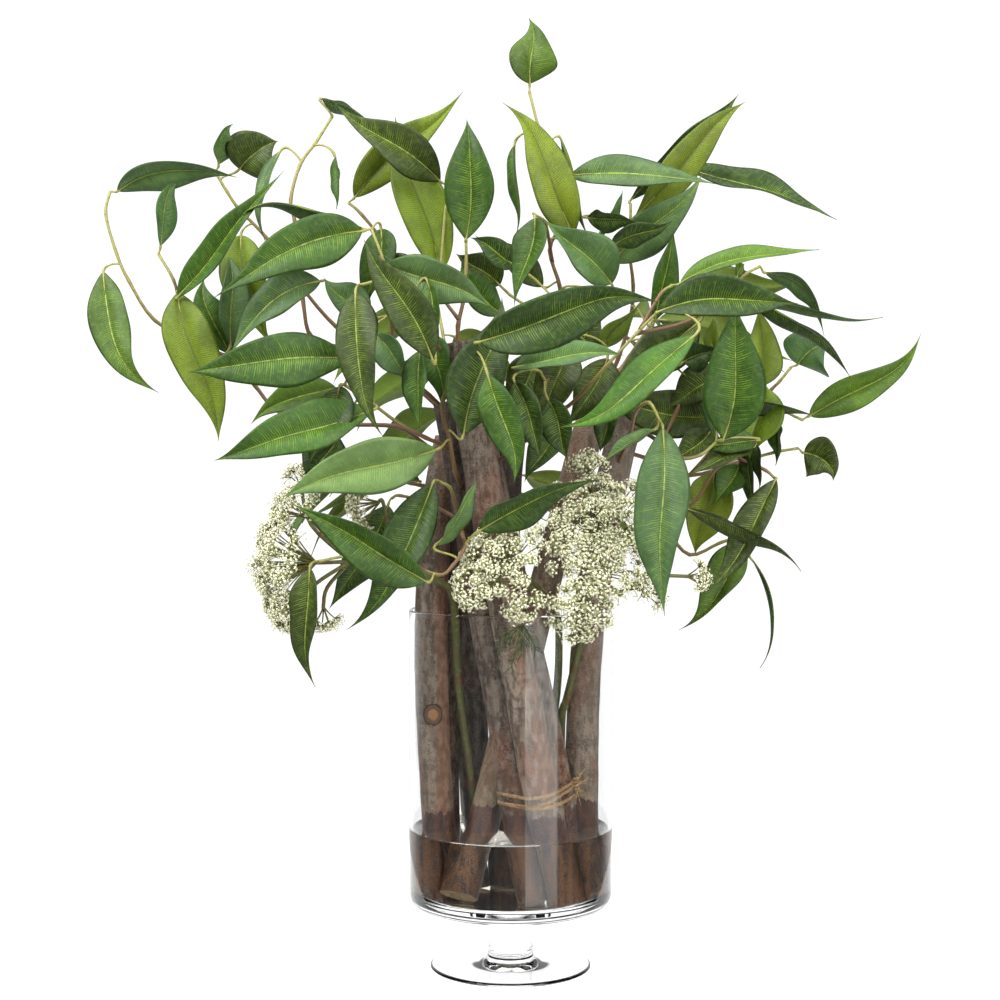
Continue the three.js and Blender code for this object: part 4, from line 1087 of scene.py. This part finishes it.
# %% Sticks
SHADED = {"stick_middle": 0.3, "stick_inner": 0.15, "stick_back": 0.45, "stick_back_left": 0.45,
          "stick_left_back": 0.3}
# Painted light: how far each front stick, which the light falls on most, is mixed towards a pale tan.
PAINTED_LIGHT_SHARE = {"stick_left": 0.2, "stick_right": 0.3, "stick_front": 0.06}

for order, name in enumerate(STICKS):
    piece = Piece()
    piece.add(stick_grid(name, order), 0, cap=1, flat_ends=True, order=float(order),
              shaded=SHADED.get(name, 0.0), pale=PAINTED_LIGHT_SHARE.get(name, 0.0),
              worn=float(name == "stick_leaning"), striped=float(name == "stick_left"))
    piece.make(name + "_bark", [bark_material, cut_material], [name])

# %% [markdown]
# ## Leafy sprays
# Each spray is a plugged-in twig with its leaves, as an artificial branch is made: the twig is moulded
# in one with the leaf stalks, and swells a little at each joint. The sprays in front follow the layout
# list, and only the small differences between their leaves are drawn.

# %% Sprays in front
MAIN_TWIG, SIDE_TWIG, TWIG_END = 1.7, 1.35, 1.0
SWELLING = (0.22, 0.06)

def add_twig(piece, points, thick, thin):
    """A twig as a tube through its joints: it thins towards its end and swells at each joint."""
    path = smooth_path(points, 4)
    t = np.linspace(0, 1, len(path))
    joint = np.zeros(len(path))
    joint[::4], joint[1::4] = SWELLING
    piece.add(tube(path, (thick + (thin - thick) * t) * (1 + joint), 9), TWIG, along=t**1.5)


for order, (name, row) in enumerate(SPRAYS.items()):
    chance = np.random.default_rng(70 + order)
    piece = Piece()
    twigs = [seen(twig) for twig in row["twigs"]]
    twigs[0] = np.concatenate([[axis_at(row["stick"], row["height"])], twigs[0]])
    for rank, twig in enumerate(twigs):
        add_twig(piece, twig, SIDE_TWIG if rank else MAIN_TWIG, TWIG_END)
    for leaf in row["leaves"]:
        base, tip = seen([leaf[:3], leaf[3:6]])
        add_leaf(piece, twigs, base, tip, unit(EYE - base), leaf[6:9], leaf[9], chance, *leaf[10:])
    piece.make(name + "_leaves", [leaf_material, twig_material], [name])

# %% [markdown]
# ## The sprays behind
# Nobody sees how these grow, so each repeats one simple rule: a twig bows outwards from its stick, and
# its leaves leave it right and left in turn. Where they stand comes from the same rule of draws as in
# the plain solids, so that each leaf lies over its solid.

# %% Sprays behind
BACK_LEAF_LENGTH = 112
BACK_LEAF_WIDTH = 34
BACK_TWIG, BACK_TWIG_END = 1.9, 1.15
BACK_TONES = "mdbo"
UP = np.array([0.0, 0.0, 1.0])
DRAW_STEP, DRAW_RANGE = 16807, 2147483647

def drawing(seed):
    """A rule of draws: at each draw the state is multiplied by DRAW_STEP and taken modulo DRAW_RANGE, and
    its share of DRAW_RANGE is what is drawn."""
    state = seed

    def draw(low, high):
        nonlocal state
        state = state * DRAW_STEP % DRAW_RANGE
        return low + (high - low) * state / DRAW_RANGE

    return draw


for order, (name, row) in enumerate(BACK_SPRAYS.items()):
    draw = drawing(401 + 97 * order)
    chance = np.random.default_rng(170 + order)
    turn = np.radians(row["bearing"])
    outward = np.array([np.sin(turn), np.cos(turn), 0])
    sideways = np.array([np.cos(turn), -np.sin(turn), 0])
    start = axis_at(row["stick"], row["height"])
    elbow = start + 0.5 * row["reach"] * outward + 0.45 * row["rise"] * UP
    end = start + row["reach"] * outward + row["rise"] * UP
    twig, _ = quadratic(start, elbow, end, np.linspace(0, 1, 8))
    piece = Piece()
    add_twig(piece, twig, BACK_TWIG, BACK_TWIG_END)
    for i in range(row["leaves"]):
        side = 1 if i % 2 else -1
        place, _ = quadratic(start, elbow, end, [0.34 + 0.66 * i / (row["leaves"] - 1)])
        base = place[0] + side * draw(7, 11) * sideways
        base = base + draw(-3, 5) * UP
        way = draw(0.3, 0.8) * outward
        way = way + side * draw(0.45, 0.95) * sideways
        way = unit(way + draw(-0.75, 0.05) * UP)
        tip = base + BACK_LEAF_LENGTH * draw(0.85, 1.1) * way
        shape = (BACK_LEAF_WIDTH * draw(0.9, 1.1), draw(-4, 4), draw(-20, 20))
        add_leaf(piece, [twig], base, tip, unit(outward + 0.7 * UP), shape, BACK_TONES[i % 4], chance)
    piece.make(name + "_leaves", [leaf_material, twig_material], [name])

# %% [markdown]
# ## Umbels
# A flower head is an umbel of umbels, like dill or wild carrot: rays spread from one point, each ray
# ends in a small cluster, and each cluster holds about two dozen florets. A floret is a star of five
# petals. The rays and florets are spread by the golden angle, then shifted by draws.

# %% Small shapes of the umbels
PETALS = 5

def floret_shape():
    """A floret about 1 across: a star of petals, whose rim goes from the petals' raised tips in to the
    notches between them, closed by one point above the middle and one below."""
    step = np.arange(2 * PETALS)
    after = (step + 1) % (2 * PETALS)
    angle = np.pi * step / PETALS
    reach = np.where(step % 2, 0.2, 0.54)
    rise = np.where(step % 2, 0.02, 0.17)
    rim = np.stack([reach * np.cos(angle), reach * np.sin(angle), rise], axis=-1)
    over = np.stack([step, after, np.full(2 * PETALS, 2 * PETALS)], axis=-1)
    under = np.stack([after, step, np.full(2 * PETALS, 2 * PETALS + 1)], axis=-1)
    return np.concatenate([rim, [[0, 0, 0.13], [0, 0, -0.16]]]), np.concatenate([over, under])


def blob_shape():
    """The unopened buds and bracts under a cluster, as one low cushion about 1 across: three rings of six
    points, closed above and below."""
    angle = np.pi * np.arange(6) / 3
    reach, rise = np.array([[0.3], [0.5], [0.32]]), np.array([[-0.25], [0.0], [0.2]])
    rings = np.stack([reach * np.cos(angle), reach * np.sin(angle), np.repeat(rise, 6, axis=1)], axis=-1)
    quads, caps = grid_faces(3, 6)
    triangles = np.concatenate([quads[:, :3], quads[:, [0, 2, 3]], caps[:, :3]])
    return np.concatenate([rings.reshape(-1, 3), [[0, 0, -0.4], [0, 0, 0.3]]]), triangles


def frames_along(ways, turns, size):
    """For each direction, three edges of a frame whose z follows it, turned about it and scaled."""
    first = unit(np.cross(ways, ACROSS))
    second = np.cross(ways, first)
    x = np.cos(turns)[:, None] * first + np.sin(turns)[:, None] * second
    return np.stack([x, np.cross(ways, x), ways], axis=1) * size[:, None, None]


def add_threads(piece, paths, radius, finish):
    """Many thin three-sided tubes at once, all with the same number of points: paths is an array of
    (tube, point, place). The ring about each point is radius * (first * cos + second * sin)."""
    count, rows = paths.shape[:2]
    way = unit(paths[:, -1] - paths[:, 0])
    first = unit(np.cross(way, ACROSS))
    second = np.cross(way, first)
    angle = 2 * np.pi * np.arange(3) / 3
    ring = radius * (first[:, None] * np.cos(angle)[:, None] + second[:, None] * np.sin(angle)[:, None])
    grids = (paths[:, :, None] + ring[:, None]).reshape(count, -1, 3)
    points = np.concatenate([grids, paths[:, [0, -1]]], axis=1)
    faces = np.concatenate(grid_faces(rows, 3))
    moved = faces + np.arange(count)[:, None, None] * points.shape[1]
    faces = np.where(faces < 0, -1, moved).reshape(-1, 4)
    marks = {"along": np.full(count * points.shape[1], 0.95)}
    piece.store(points.reshape(-1, 3), faces, finish, np.ones(len(faces), bool), marks)


print("a floret has", len(floret_shape()[1]), "faces")

# %% [markdown]
# ## A flower head
# The clusters stand on a low dome. Each gets a thin ray from the neck of the head, then its florets,
# a cushion of buds under them, and a thread to every other floret.

# %% Flower heads
RAY, FLORET, LEAFLET, BUD = 0, 1, 2, 3
GOLDEN = np.pi * (3 - np.sqrt(5))
DOME = 0.42
CLUSTER_SPACING = 5.3
CLUSTER_RADIUS = 6.2
FLORETS_PER_CLUSTER = 27
FLORET_SIZE = 2.9
WIDEST_LEAN = 1.3
THREAD_RADIUS = 0.2

def cluster_places(middle, way, radius, chance):
    """The cluster centres on a dome over the rim's middle, spread by the golden angle: radius *
    sqrt(share) outwards and DOME * radius * (1 - share) along the axis."""
    first = unit(np.cross(way, ACROSS))
    second = np.cross(way, first)
    clusters = max(6, int(round((radius / CLUSTER_SPACING) ** 2)))
    share = (np.arange(clusters) + 0.5) / clusters
    angle = GOLDEN * np.arange(clusters) + chance.uniform(-0.3, 0.3, clusters)
    reach = 0.94 * radius * np.sqrt(share) * chance.uniform(0.84, 1.08, clusters)
    rise = DOME * radius * (1 - share) + chance.uniform(-0.2, 0.08, clusters) * radius
    beside = first * (reach * np.cos(angle))[:, None] + second * (reach * np.sin(angle))[:, None]
    return middle + way * rise[:, None] + beside


def add_florets(piece, centre, out, chance):
    """The florets of all clusters: each leans from its cluster's axis by sqrt(share) * WIDEST_LEAN,
    turned by the golden angle."""
    florets = (chance.uniform(0.85, 1.15, len(centre)) * FLORETS_PER_CLUSTER).astype(int)
    whose = np.repeat(np.arange(len(centre)), florets)
    spot = np.concatenate([np.arange(n) for n in florets])
    lean = np.sqrt((spot + 0.5) / florets[whose]) * WIDEST_LEAN
    turn = GOLDEN * spot + chance.uniform(0, 6, len(centre))[whose]
    across = unit(np.cross(out, ACROSS))
    beside = np.cross(out, across)
    ways = (out[whose] * np.cos(lean)[:, None] + across[whose] * (np.sin(lean) * np.cos(turn))[:, None]
            + beside[whose] * (np.sin(lean) * np.sin(turn))[:, None])
    spread = CLUSTER_RADIUS * chance.uniform(0.75, 1.3, len(centre))[whose]
    spread = spread * chance.uniform(0.72, 1.15, len(whose))
    foot = centre[whose] - out[whose] * CLUSTER_RADIUS * 0.5
    place = foot + ways * spread[:, None] + chance.uniform(-0.7, 0.7, (len(whose), 3))
    size = FLORET_SIZE * chance.uniform(0.65, 1.25, len(whose))
    tilted = unit(ways + chance.uniform(-0.6, 0.6, (len(whose), 3)))
    frames = frames_along(tilted, chance.uniform(0, 6, len(whose)), size)
    # The mark deep, a floret's share of the widest lean, places painted shade on the flanks of a cluster.
    piece.add_copies(*floret_shape(), place, frames, FLORET,
                     fresh=chance.uniform(0, 1, len(whose)), deep=lean / WIDEST_LEAN)
    frames = frames_along(out, chance.uniform(0, 6, len(centre)),
                          CLUSTER_RADIUS * chance.uniform(0.8, 1.1, len(centre)))
    piece.add_copies(*blob_shape(), centre, frames, BUD)
    near = np.linspace(0, 1, 3)[:, None]
    stem_end = place - tilted * size[:, None] * 0.1
    add_threads(piece, foot[::2, None] * (1 - near) + stem_end[::2, None] * near, THREAD_RADIUS, RAY)
    return len(whose)


def umbel(piece, head, chance):
    """One head: its stalk, and a ray to each cluster, bowed outwards as a quadratic curve."""
    stalk = seen(head["stalk"])
    hub, middle, radius = stalk[-1], seen([head["middle"]])[0], head["radius"]
    way = unit(middle - hub)
    centre = cluster_places(middle, way, radius, chance)
    neck = hub + way * min(4.0, 0.2 * radius)
    if len(stalk) > 1:
        stalk = smooth_path(np.concatenate([stalk, [neck]]), 4)
        piece.add(tube(stalk, np.linspace(1.5, 1.3, len(stalk)), 8), RAY, along=0.4)
    for end in centre:
        bend = (neck + end) / 2 - 0.1 * (end - middle) + 0.12 * radius * way * chance.uniform(-0.4, 0.6)
        ray, _ = quadratic(neck - 2 * way, bend, end, np.linspace(0, 1, 7))
        piece.add(tube(ray, np.linspace(0.62, 0.42, 7), 5), RAY, along=np.linspace(0.4, 0.9, 7))
    return len(centre), add_florets(piece, centre, unit(centre - neck), chance)


print("a cluster: about", FLORETS_PER_CLUSTER, "florets of", FLORET_SIZE, "mm")

# %% [markdown]
# ## Flower finishes
# The florets are cream; those that lean farthest out, low on each cluster's flanks where the clusters
# meet, get painted shade, a grey-green cast. The rays are olive and turn red-brown in places, like the
# painted wires and plastic of a made flower.

# %% Flower finishes
CREAM = colour(218, 217, 180)
PALE_CREAM = colour(248, 246, 218)
OLIVE = colour(176, 180, 122)

def ray_finish(tree):
    speck = tree.noise(tree.place(), 400.0, 3.0)
    skin = tree.mix(tree.mark("along"), shown(84, 84, 40), shown(156, 160, 78))
    skin = tree.coats(skin, [
        (tree.noise(tree.place(), 70.0, 3.0), 0.52, 0.66, 0.8, shown(118, 74, 44)),
        (speck, 0.55, 0.72, 0.5, shown(176, 170, 110)),
    ])
    return {"Base Color": skin, "Roughness": 0.6, "Normal": tree.bump(speck, 0.3, 0.0005)}


def floret_finish(tree):
    petal = tree.coats(tree.mix(tree.mark("fresh"), CREAM, PALE_CREAM), [
        # Painted shade: florets low on a cluster's flanks, between the clusters, are greyed towards olive.
        (tree.mark("deep"), 0.7, 1.1, 0.5, OLIVE),
        (tree.noise(tree.place(), 500.0, 2.0), 0.58, 0.72, 0.3, OLIVE),
    ])
    return {"Base Color": petal, "Roughness": 0.75}


def leaflet_finish(tree):
    speck = tree.noise(tree.place(), 300.0, 2.0)
    return {"Base Color": tree.mix(speck.between(0.4, 0.6), shown(40, 64, 22), shown(88, 110, 42)),
            "Roughness": 0.6}


def bud_finish(tree):
    grain = tree.noise(tree.place(), 700.0, 3.0)
    skin = tree.mix(grain.between(0.4, 0.6), shown(128, 134, 78), shown(196, 200, 142))
    return {"Base Color": skin, "Roughness": 0.8, "Normal": tree.bump(grain, 0.6, 0.0008)}


bud_material = finish("bud_finish", bud_finish)
leaflet_material = finish("leaflet_finish", leaflet_finish)
ray_material = finish("ray_finish", ray_finish)
floret_material = finish("floret_finish", floret_finish)
print("finishes so far:", len(bpy.data.materials))

# %% [markdown]
# ## The flowers in place
# Each flower is a ribbed stem with one swollen joint, which stands in the water and carries its heads.
# The first piece also holds the few finely divided leaflets, as dill has, which hang under the middle
# heads, in front of the sticks.

# %% Flowers
STEM_RADIUS_BELOW, STEM_THINNING = 3.6, 1.4
NODE_AT, NODE_LENGTH, NODE_SWELLING = 0.45, 0.01, 0.36
NEEDLE_RADIUS = 0.36
PAIRS = 6

def needles(piece, root, end, chance):
    """A leaflet: a hanging midrib with pairs of long needles, the shorter the nearer they are to its
    end."""
    rib, _ = quadratic(root, (root + end) / 2 + [0, -4, 3], end, np.linspace(0, 1, 9))
    piece.add(tube(rib, np.linspace(0.6, 0.35, 9), 5), LEAFLET, along=0.9)
    way = unit(end - root)
    side = unit(np.cross(way, [0, -1, 0.2]))
    spot = np.repeat(np.linspace(0.25, 0.97, PAIRS), 2)
    sign = np.tile([1, -1], PAIRS)
    sag = np.array([0, -4, 3]) * (2 * spot * (1 - spot))[:, None]
    start = root + (end - root) * spot[:, None] + sag
    size = chance.uniform(6, 13, 2 * PAIRS) * (1 - 0.5 * spot)
    push = side * sign[:, None] * 0.55 + way * 0.85 + chance.uniform(-0.25, 0.25, (2 * PAIRS, 3))
    reach = (push * size[:, None])[:, None] * np.linspace(0, 1, 4)[None, :, None]
    add_threads(piece, start[:, None] + reach, NEEDLE_RADIUS, LEAFLET)


for order, (name, row) in enumerate(FLOWERS.items()):
    chance = np.random.default_rng(270 + order)
    piece = Piece()
    stem = smooth_path(seen(row["stem"]), 6)
    along = np.linspace(0, 1, len(stem))
    node = NODE_SWELLING * np.exp(-((along - NODE_AT) / NODE_LENGTH) ** 2)
    ribs = 1 + 0.02 * np.cos(8 * np.linspace(0, 2 * np.pi, 20, endpoint=False))
    radius = (STEM_RADIUS_BELOW - STEM_THINNING * along + node)[:, None] * ribs
    piece.add(tube(stem, radius, 20), RAY, along=0.1 + 0.3 * along)
    for head in row["heads"]:
        print(name, "clusters and florets:", umbel(piece, head, chance))
    if order == 0:
        for x, z in LEAFLET_TIPS:
            needles(piece, *seen([LEAFLET_ROOT, (x, z, LEAFLET_DEPTH)]), chance)
    materials = [ray_material, floret_material, leaflet_material, bud_material]
    piece.make(name + "_head", materials, [name])

# %% [markdown]
# ## Raffia tie
# Three turns of raffia hold the front sticks together low in the vase. Each turn follows the outline
# round the three sticks and is a bundle of thin twisted strands; the knot's ends fray to the right.

# %% Raffia
TIE_STICKS = ["stick_front", "stick_inner", "stick_middle"]
TURNS = [(136, 0.12), (131, 0.2), (128, 0.08)]
CLEAR_OF_BARK = 1.6
HALF_BUNDLE = 26
HIGH_SIDE = 0.2
STRANDS = 3
STRAND_TWIST, TWIST_RADIUS = 14, 0.75
LOOSE_ENDS = [(10, 2, 11), (2, -3, -14), (11, 4, 3), (9, -4, -8)]

def turn_path(height, climb):
    """A closed turn: in each direction, the farthest edge of the tied sticks and a little clearance,
    smoothed three times by averaging each point with its neighbours. It is tilted, so its height is
    height + climb * HALF_BUNDLE * cos(angle - HIGH_SIDE)."""
    angle = np.linspace(0, 2 * np.pi, 49)
    level = height + climb * HALF_BUNDLE * np.cos(angle - HIGH_SIDE)
    look = np.stack([np.cos(angle), np.sin(angle), 0 * angle], axis=-1)
    edges = np.stack([np.array([axis_at(name, z) for z in level]) + (STICKS[name][0] + CLEAR_OF_BARK) * look
                      for name in TIE_STICKS])
    farthest = np.argmax((edges * look).sum(axis=-1), axis=0)
    path = edges[farthest, np.arange(len(angle))]
    path[:, 2] = level
    for _ in range(3):
        closed = np.concatenate([path[-2:-1], path, path[1:2]])
        path = 0.25 * closed[:-2] + 0.5 * closed[1:-1] + 0.25 * closed[2:]
    return path


def raffia_finish(tree):
    fibre = tree.noise(tree.place(), 500.0, 4.0)
    skin = tree.mix(fibre.between(0.35, 0.65), shown(186, 134, 84), shown(250, 214, 160))
    skin = tree.mix(tree.mark("along") * 0.3, skin, shown(120, 84, 50))
    return {"Base Color": skin, "Roughness": 0.85, "Normal": tree.bump(fibre, 0.4, 0.0005)}


raffia_material = finish("raffia_finish", raffia_finish)
piece = Piece()
chance = np.random.default_rng(11)
for height, climb in TURNS:
    for strand in range(STRANDS):
        path = turn_path(height, climb)
        twist = np.linspace(0, STRAND_TWIST, len(path)) + 2 * np.pi * strand / STRANDS
        outward = unit(path - path.mean(axis=0))
        path = path + TWIST_RADIUS * (np.cos(twist)[:, None] * outward + np.sin(twist)[:, None] * UP)
        piece.add(tube(path, 0.62 + 0.1 * np.sin(3 * twist), 6), 0, along=0.3 * strand)
knot = turn_path(*TURNS[1])[0] + [1, -1, 1]
for push in LOOSE_ENDS:
    for _ in range(3):
        loose = knot + push + chance.uniform(-3, 3, 3)
        bend = (knot + loose) / 2 + chance.uniform(-2, 2, 3)
        path, _ = quadratic(knot, bend, loose, np.linspace(0, 1, 10))
        piece.add(tube(path, np.linspace(0.75, 0.2, 10), 5), 0, along=chance.uniform(0, 1))
wrap = np.linspace(0, 1, 40)[:, None]
coil = knot + np.concatenate([2 * np.cos(26 * wrap), 2 * np.sin(26 * wrap), 11 * wrap - 5], axis=1)
piece.add(tube(coil, 0.8, 6), 0, along=0.2)
piece.make("raffia_strands", [raffia_material], ["raffia_tie"])

# %% [markdown]
# ## The vase
# The vase is one piece of clear glass, turned about its axis: a wide foot that sweeps up into a narrow
# solid stem, and a straight cylinder with a thick rounded floor. It is drawn again with round corners,
# because light bends through each of them. The lathe runs from the foot's middle over the outside to
# the rim and down the inside.

# %% Glass vase
FOOT_RADIUS, STEM_RADIUS = 60.0, 16.5
BODY_BOTTOM, RIM = 46.0, 266.0
BODY_RADIUS, INNER_RADIUS = 75.5, 73.0
LATHE_SIDES = 160

def eased(profile, reach, steps):
    """A profile whose corners are rounded: at each corner a quadratic curve runs from a point a short
    reach before it to one as far after it, and never past 0.45 of the shorter neighbour. Four points on
    each straight stretch keep its shading straight."""
    profile = np.asarray(profile, float)
    corner, before, after = profile[1:-1], profile[:-2], profile[2:]
    back, ahead = np.linalg.norm(corner - before, axis=1), np.linalg.norm(after - corner, axis=1)
    size = np.minimum(reach, 0.45 * np.minimum(back, ahead))[:, None]
    start = corner + (before - corner) / back[:, None] * size
    end = corner + (after - corner) / ahead[:, None] * size
    t = np.linspace(0, 1, steps)[None, :, None]
    curve = (1 - t) ** 2 * start[:, None] + 2 * t * (1 - t) * corner[:, None] + t**2 * end[:, None]
    starts = np.concatenate([profile[:1], end])[:, None]
    ends = np.concatenate([start, profile[-1:]])[:, None]
    share = np.array([0.04, 0.35, 0.65, 0.96])[None, :, None]
    straight = starts * (1 - share) + ends * share
    between = np.concatenate([curve, straight[1:]], axis=1).reshape(-1, 2)
    return np.concatenate([profile[:1], straight[0], between, profile[-1:]])


VASE_PROFILE = [
    (0, 0), (FOOT_RADIUS - 1.5, 0), (FOOT_RADIUS, 1.2), (FOOT_RADIUS - 1, 2.8), (30, 3.3), (21, 4.8),
    (STEM_RADIUS + 1, 7.4), (STEM_RADIUS, 11.5), (STEM_RADIUS, BODY_BOTTOM - 3.5),
    (STEM_RADIUS + 3.5, BODY_BOTTOM), (BODY_RADIUS - 9, BODY_BOTTOM), (BODY_RADIUS - 3.6, BODY_BOTTOM + 2),
    (BODY_RADIUS - 0.8, BODY_BOTTOM + 5.6), (BODY_RADIUS, BODY_BOTTOM + 10), (BODY_RADIUS, RIM - 1),
    (BODY_RADIUS - 0.4, RIM - 0.2), (BODY_RADIUS - 1.25, RIM), (INNER_RADIUS + 0.4, RIM - 0.2),
    (INNER_RADIUS, RIM - 1), (INNER_RADIUS, FLOOR + 6), (INNER_RADIUS - 2, FLOOR + 1.8),
    (INNER_RADIUS - 7, FLOOR), (0, FLOOR),
]
CLEAR = {"Roughness": 0.0, "Transmission Weight": 1.0, "Specular Tint": (0.32, 0.34, 0.35, 1.0)}
glass_material = finish("glass_finish", lambda tree: {}, **CLEAR, **{
    "Base Color": (0.985, 0.995, 0.99, 1.0), "IOR": 1.46})
piece = Piece()
rings, ends = lathe(eased(VASE_PROFILE, 2.0, 5), LATHE_SIDES)
piece.add(rings, 0, ends=ends)
piece.make("vase_glass", [glass_material], ["glass_vase"])

# %% [markdown]
# ## The water
# The water stands nearly five centimetres deep and creeps up the wall a little. Its side lies a hair
# inside the glass wall, so no film of air is left between them, and what stands in it is magnified. The
# bark has stained it a faint brown.

# %% Water
WATER_RADIUS, WATER_BOTTOM, WATER_TOP = 73.3, 54.85, 102.5
WATER_PROFILE = [
    (0, WATER_BOTTOM), (65.8, WATER_BOTTOM), (70.9, 57.2), (WATER_RADIUS, 61.4),
    (WATER_RADIUS, WATER_TOP + 2.3), (72.1, WATER_TOP + 1.2), (69.9, WATER_TOP + 0.3), (66.5, WATER_TOP),
    (0, WATER_TOP),
]
water_material = finish("water_finish", lambda tree: {}, **CLEAR, **{
    "Base Color": (0.91, 0.87, 0.81, 1.0), "IOR": 1.33})
piece = Piece()
rings, ends = lathe(eased(WATER_PROFILE, 1.5, 5), LATHE_SIDES)
piece.add(rings, 0, ends=ends)
piece.make("water_body", [water_material], ["water"])

# %% [markdown]
# ## Floor, sky and lights
# The set is a product photographer's: a pale round table and a surround that is white behind, above and
# low down and dark elsewhere, so the glass gets edges. A large soft box high on the left is the main
# light, with weaker ones on the right and above. A tall one to the right stands low enough for the
# cylinder to mirror it as a sharp upright band.

# %% Floor
TABLE_RADIUS = 0.31
TABLE_BACK = 0.17
TABLE_SIDES = 96
BELOW_FOOT = 0.0002

table_material = finish("table_finish", lambda tree: {}, **{
    "Base Color": (0.8, 0.8, 0.8, 1.0), "Roughness": 0.6, "Emission Color": (1.0, 1.0, 1.0, 1.0),
    "Emission Strength": 0.8})
table_mesh = bpy.data.meshes.new("table")
turn = np.linspace(0, 2 * np.pi, TABLE_SIDES, endpoint=False)
rim = TABLE_RADIUS * np.stack([np.cos(turn), np.sin(turn), 0 * turn], axis=-1)
rim = rim + [0, TABLE_BACK, -BELOW_FOOT]
table_mesh.from_pydata(rim.tolist(), [], [list(range(TABLE_SIDES))])
table_mesh.materials.append(table_material)
table = bpy.data.objects.new("table", table_mesh)
bpy.context.scene.collection.objects.link(table)
print("table:", TABLE_RADIUS, "m in radius")

# %% [markdown]
# ## The sky
# The surround has four faces. What is mirrored in glass and gloss is a studio's pattern. What is seen
# through the glass is a bright wall with dark sides, which draws the glass's edges. Matt things get one
# even soft light, and the backdrop itself is plain white.

# %% Sky
MATT_LIGHT, BACKDROP = 0.68, 1.1

sky = bpy.data.worlds.new("sky")
sky.use_nodes = True
bpy.context.scene.world = sky
tree = Tree(sky.node_tree)
facing = tree.node("ShaderNodeTexCoord", output="Generated")
to_back, upward = (tree.node("ShaderNodeSeparateXYZ", None, {0: facing}, output=axis) for axis in (1, 2))
mirrored = 0.1 + to_back.between(0.45, 0.85) + upward.between(0.3, 0.9) * 0.6
mirrored = mirrored + upward.between(-0.3, -0.6) * 0.7
through = 0.14 + abs(to_back).between(0.4, 0.8)
direct, matt, bent = (tree.node("ShaderNodeLightPath", output=kind) for kind in (0, 2, 6))
brightness = mirrored + bent * (through - mirrored)
brightness = brightness + matt * (MATT_LIGHT - brightness)
brightness = brightness + direct * (BACKDROP - brightness)
background = sky.node_tree.nodes["Background"]
background.inputs["Color"].default_value = (1, 1, 1, 1)
tree.links.new(brightness.socket, background.inputs["Strength"])
print("sky:", len(sky.node_tree.nodes), "nodes")

# %% [markdown]
# ## The lights
# A photographer's soft boxes are large, so their shadows have no hard edges. Each is an area light here,
# given by where it stands, what it faces, its size and how bright its surface is. In that way a box can
# be made larger and stays as bright to look at.

# %% Lights
def flat_light(name, place, aim, size, radiance):
    """A rectangular soft box: its power is radiance * pi * area, and it faces what it is aimed at."""
    light = bpy.data.lights.new(name, "AREA")
    light.shape = "RECTANGLE"
    light.size, light.size_y = size
    light.energy = radiance * np.pi * size[0] * size[1]
    box = bpy.data.objects.new(name, light)
    box.location = place
    box.rotation_euler = (Vector(aim) - Vector(place)).to_track_quat("-Z", "Y").to_euler()
    bpy.context.scene.collection.objects.link(box)


flat_light("softbox_band", (0.9, -1.33, 0.4), (0, 0, 0.3), (1.1, 2.2), 3.8)
flat_light("softbox_left", (-1.2, -0.9, 1.3), (0, 0, 0.35), (0.9, 1.1), 13.0)
flat_light("softbox_right", (1.0, -0.8, 1.4), (0, 0, 0.35), (0.8, 1.0), 6.0)
flat_light("softbox_top", (-0.2, -0.4, 1.9), (0, 0, 0.3), (1.4, 1.4), 5.0)
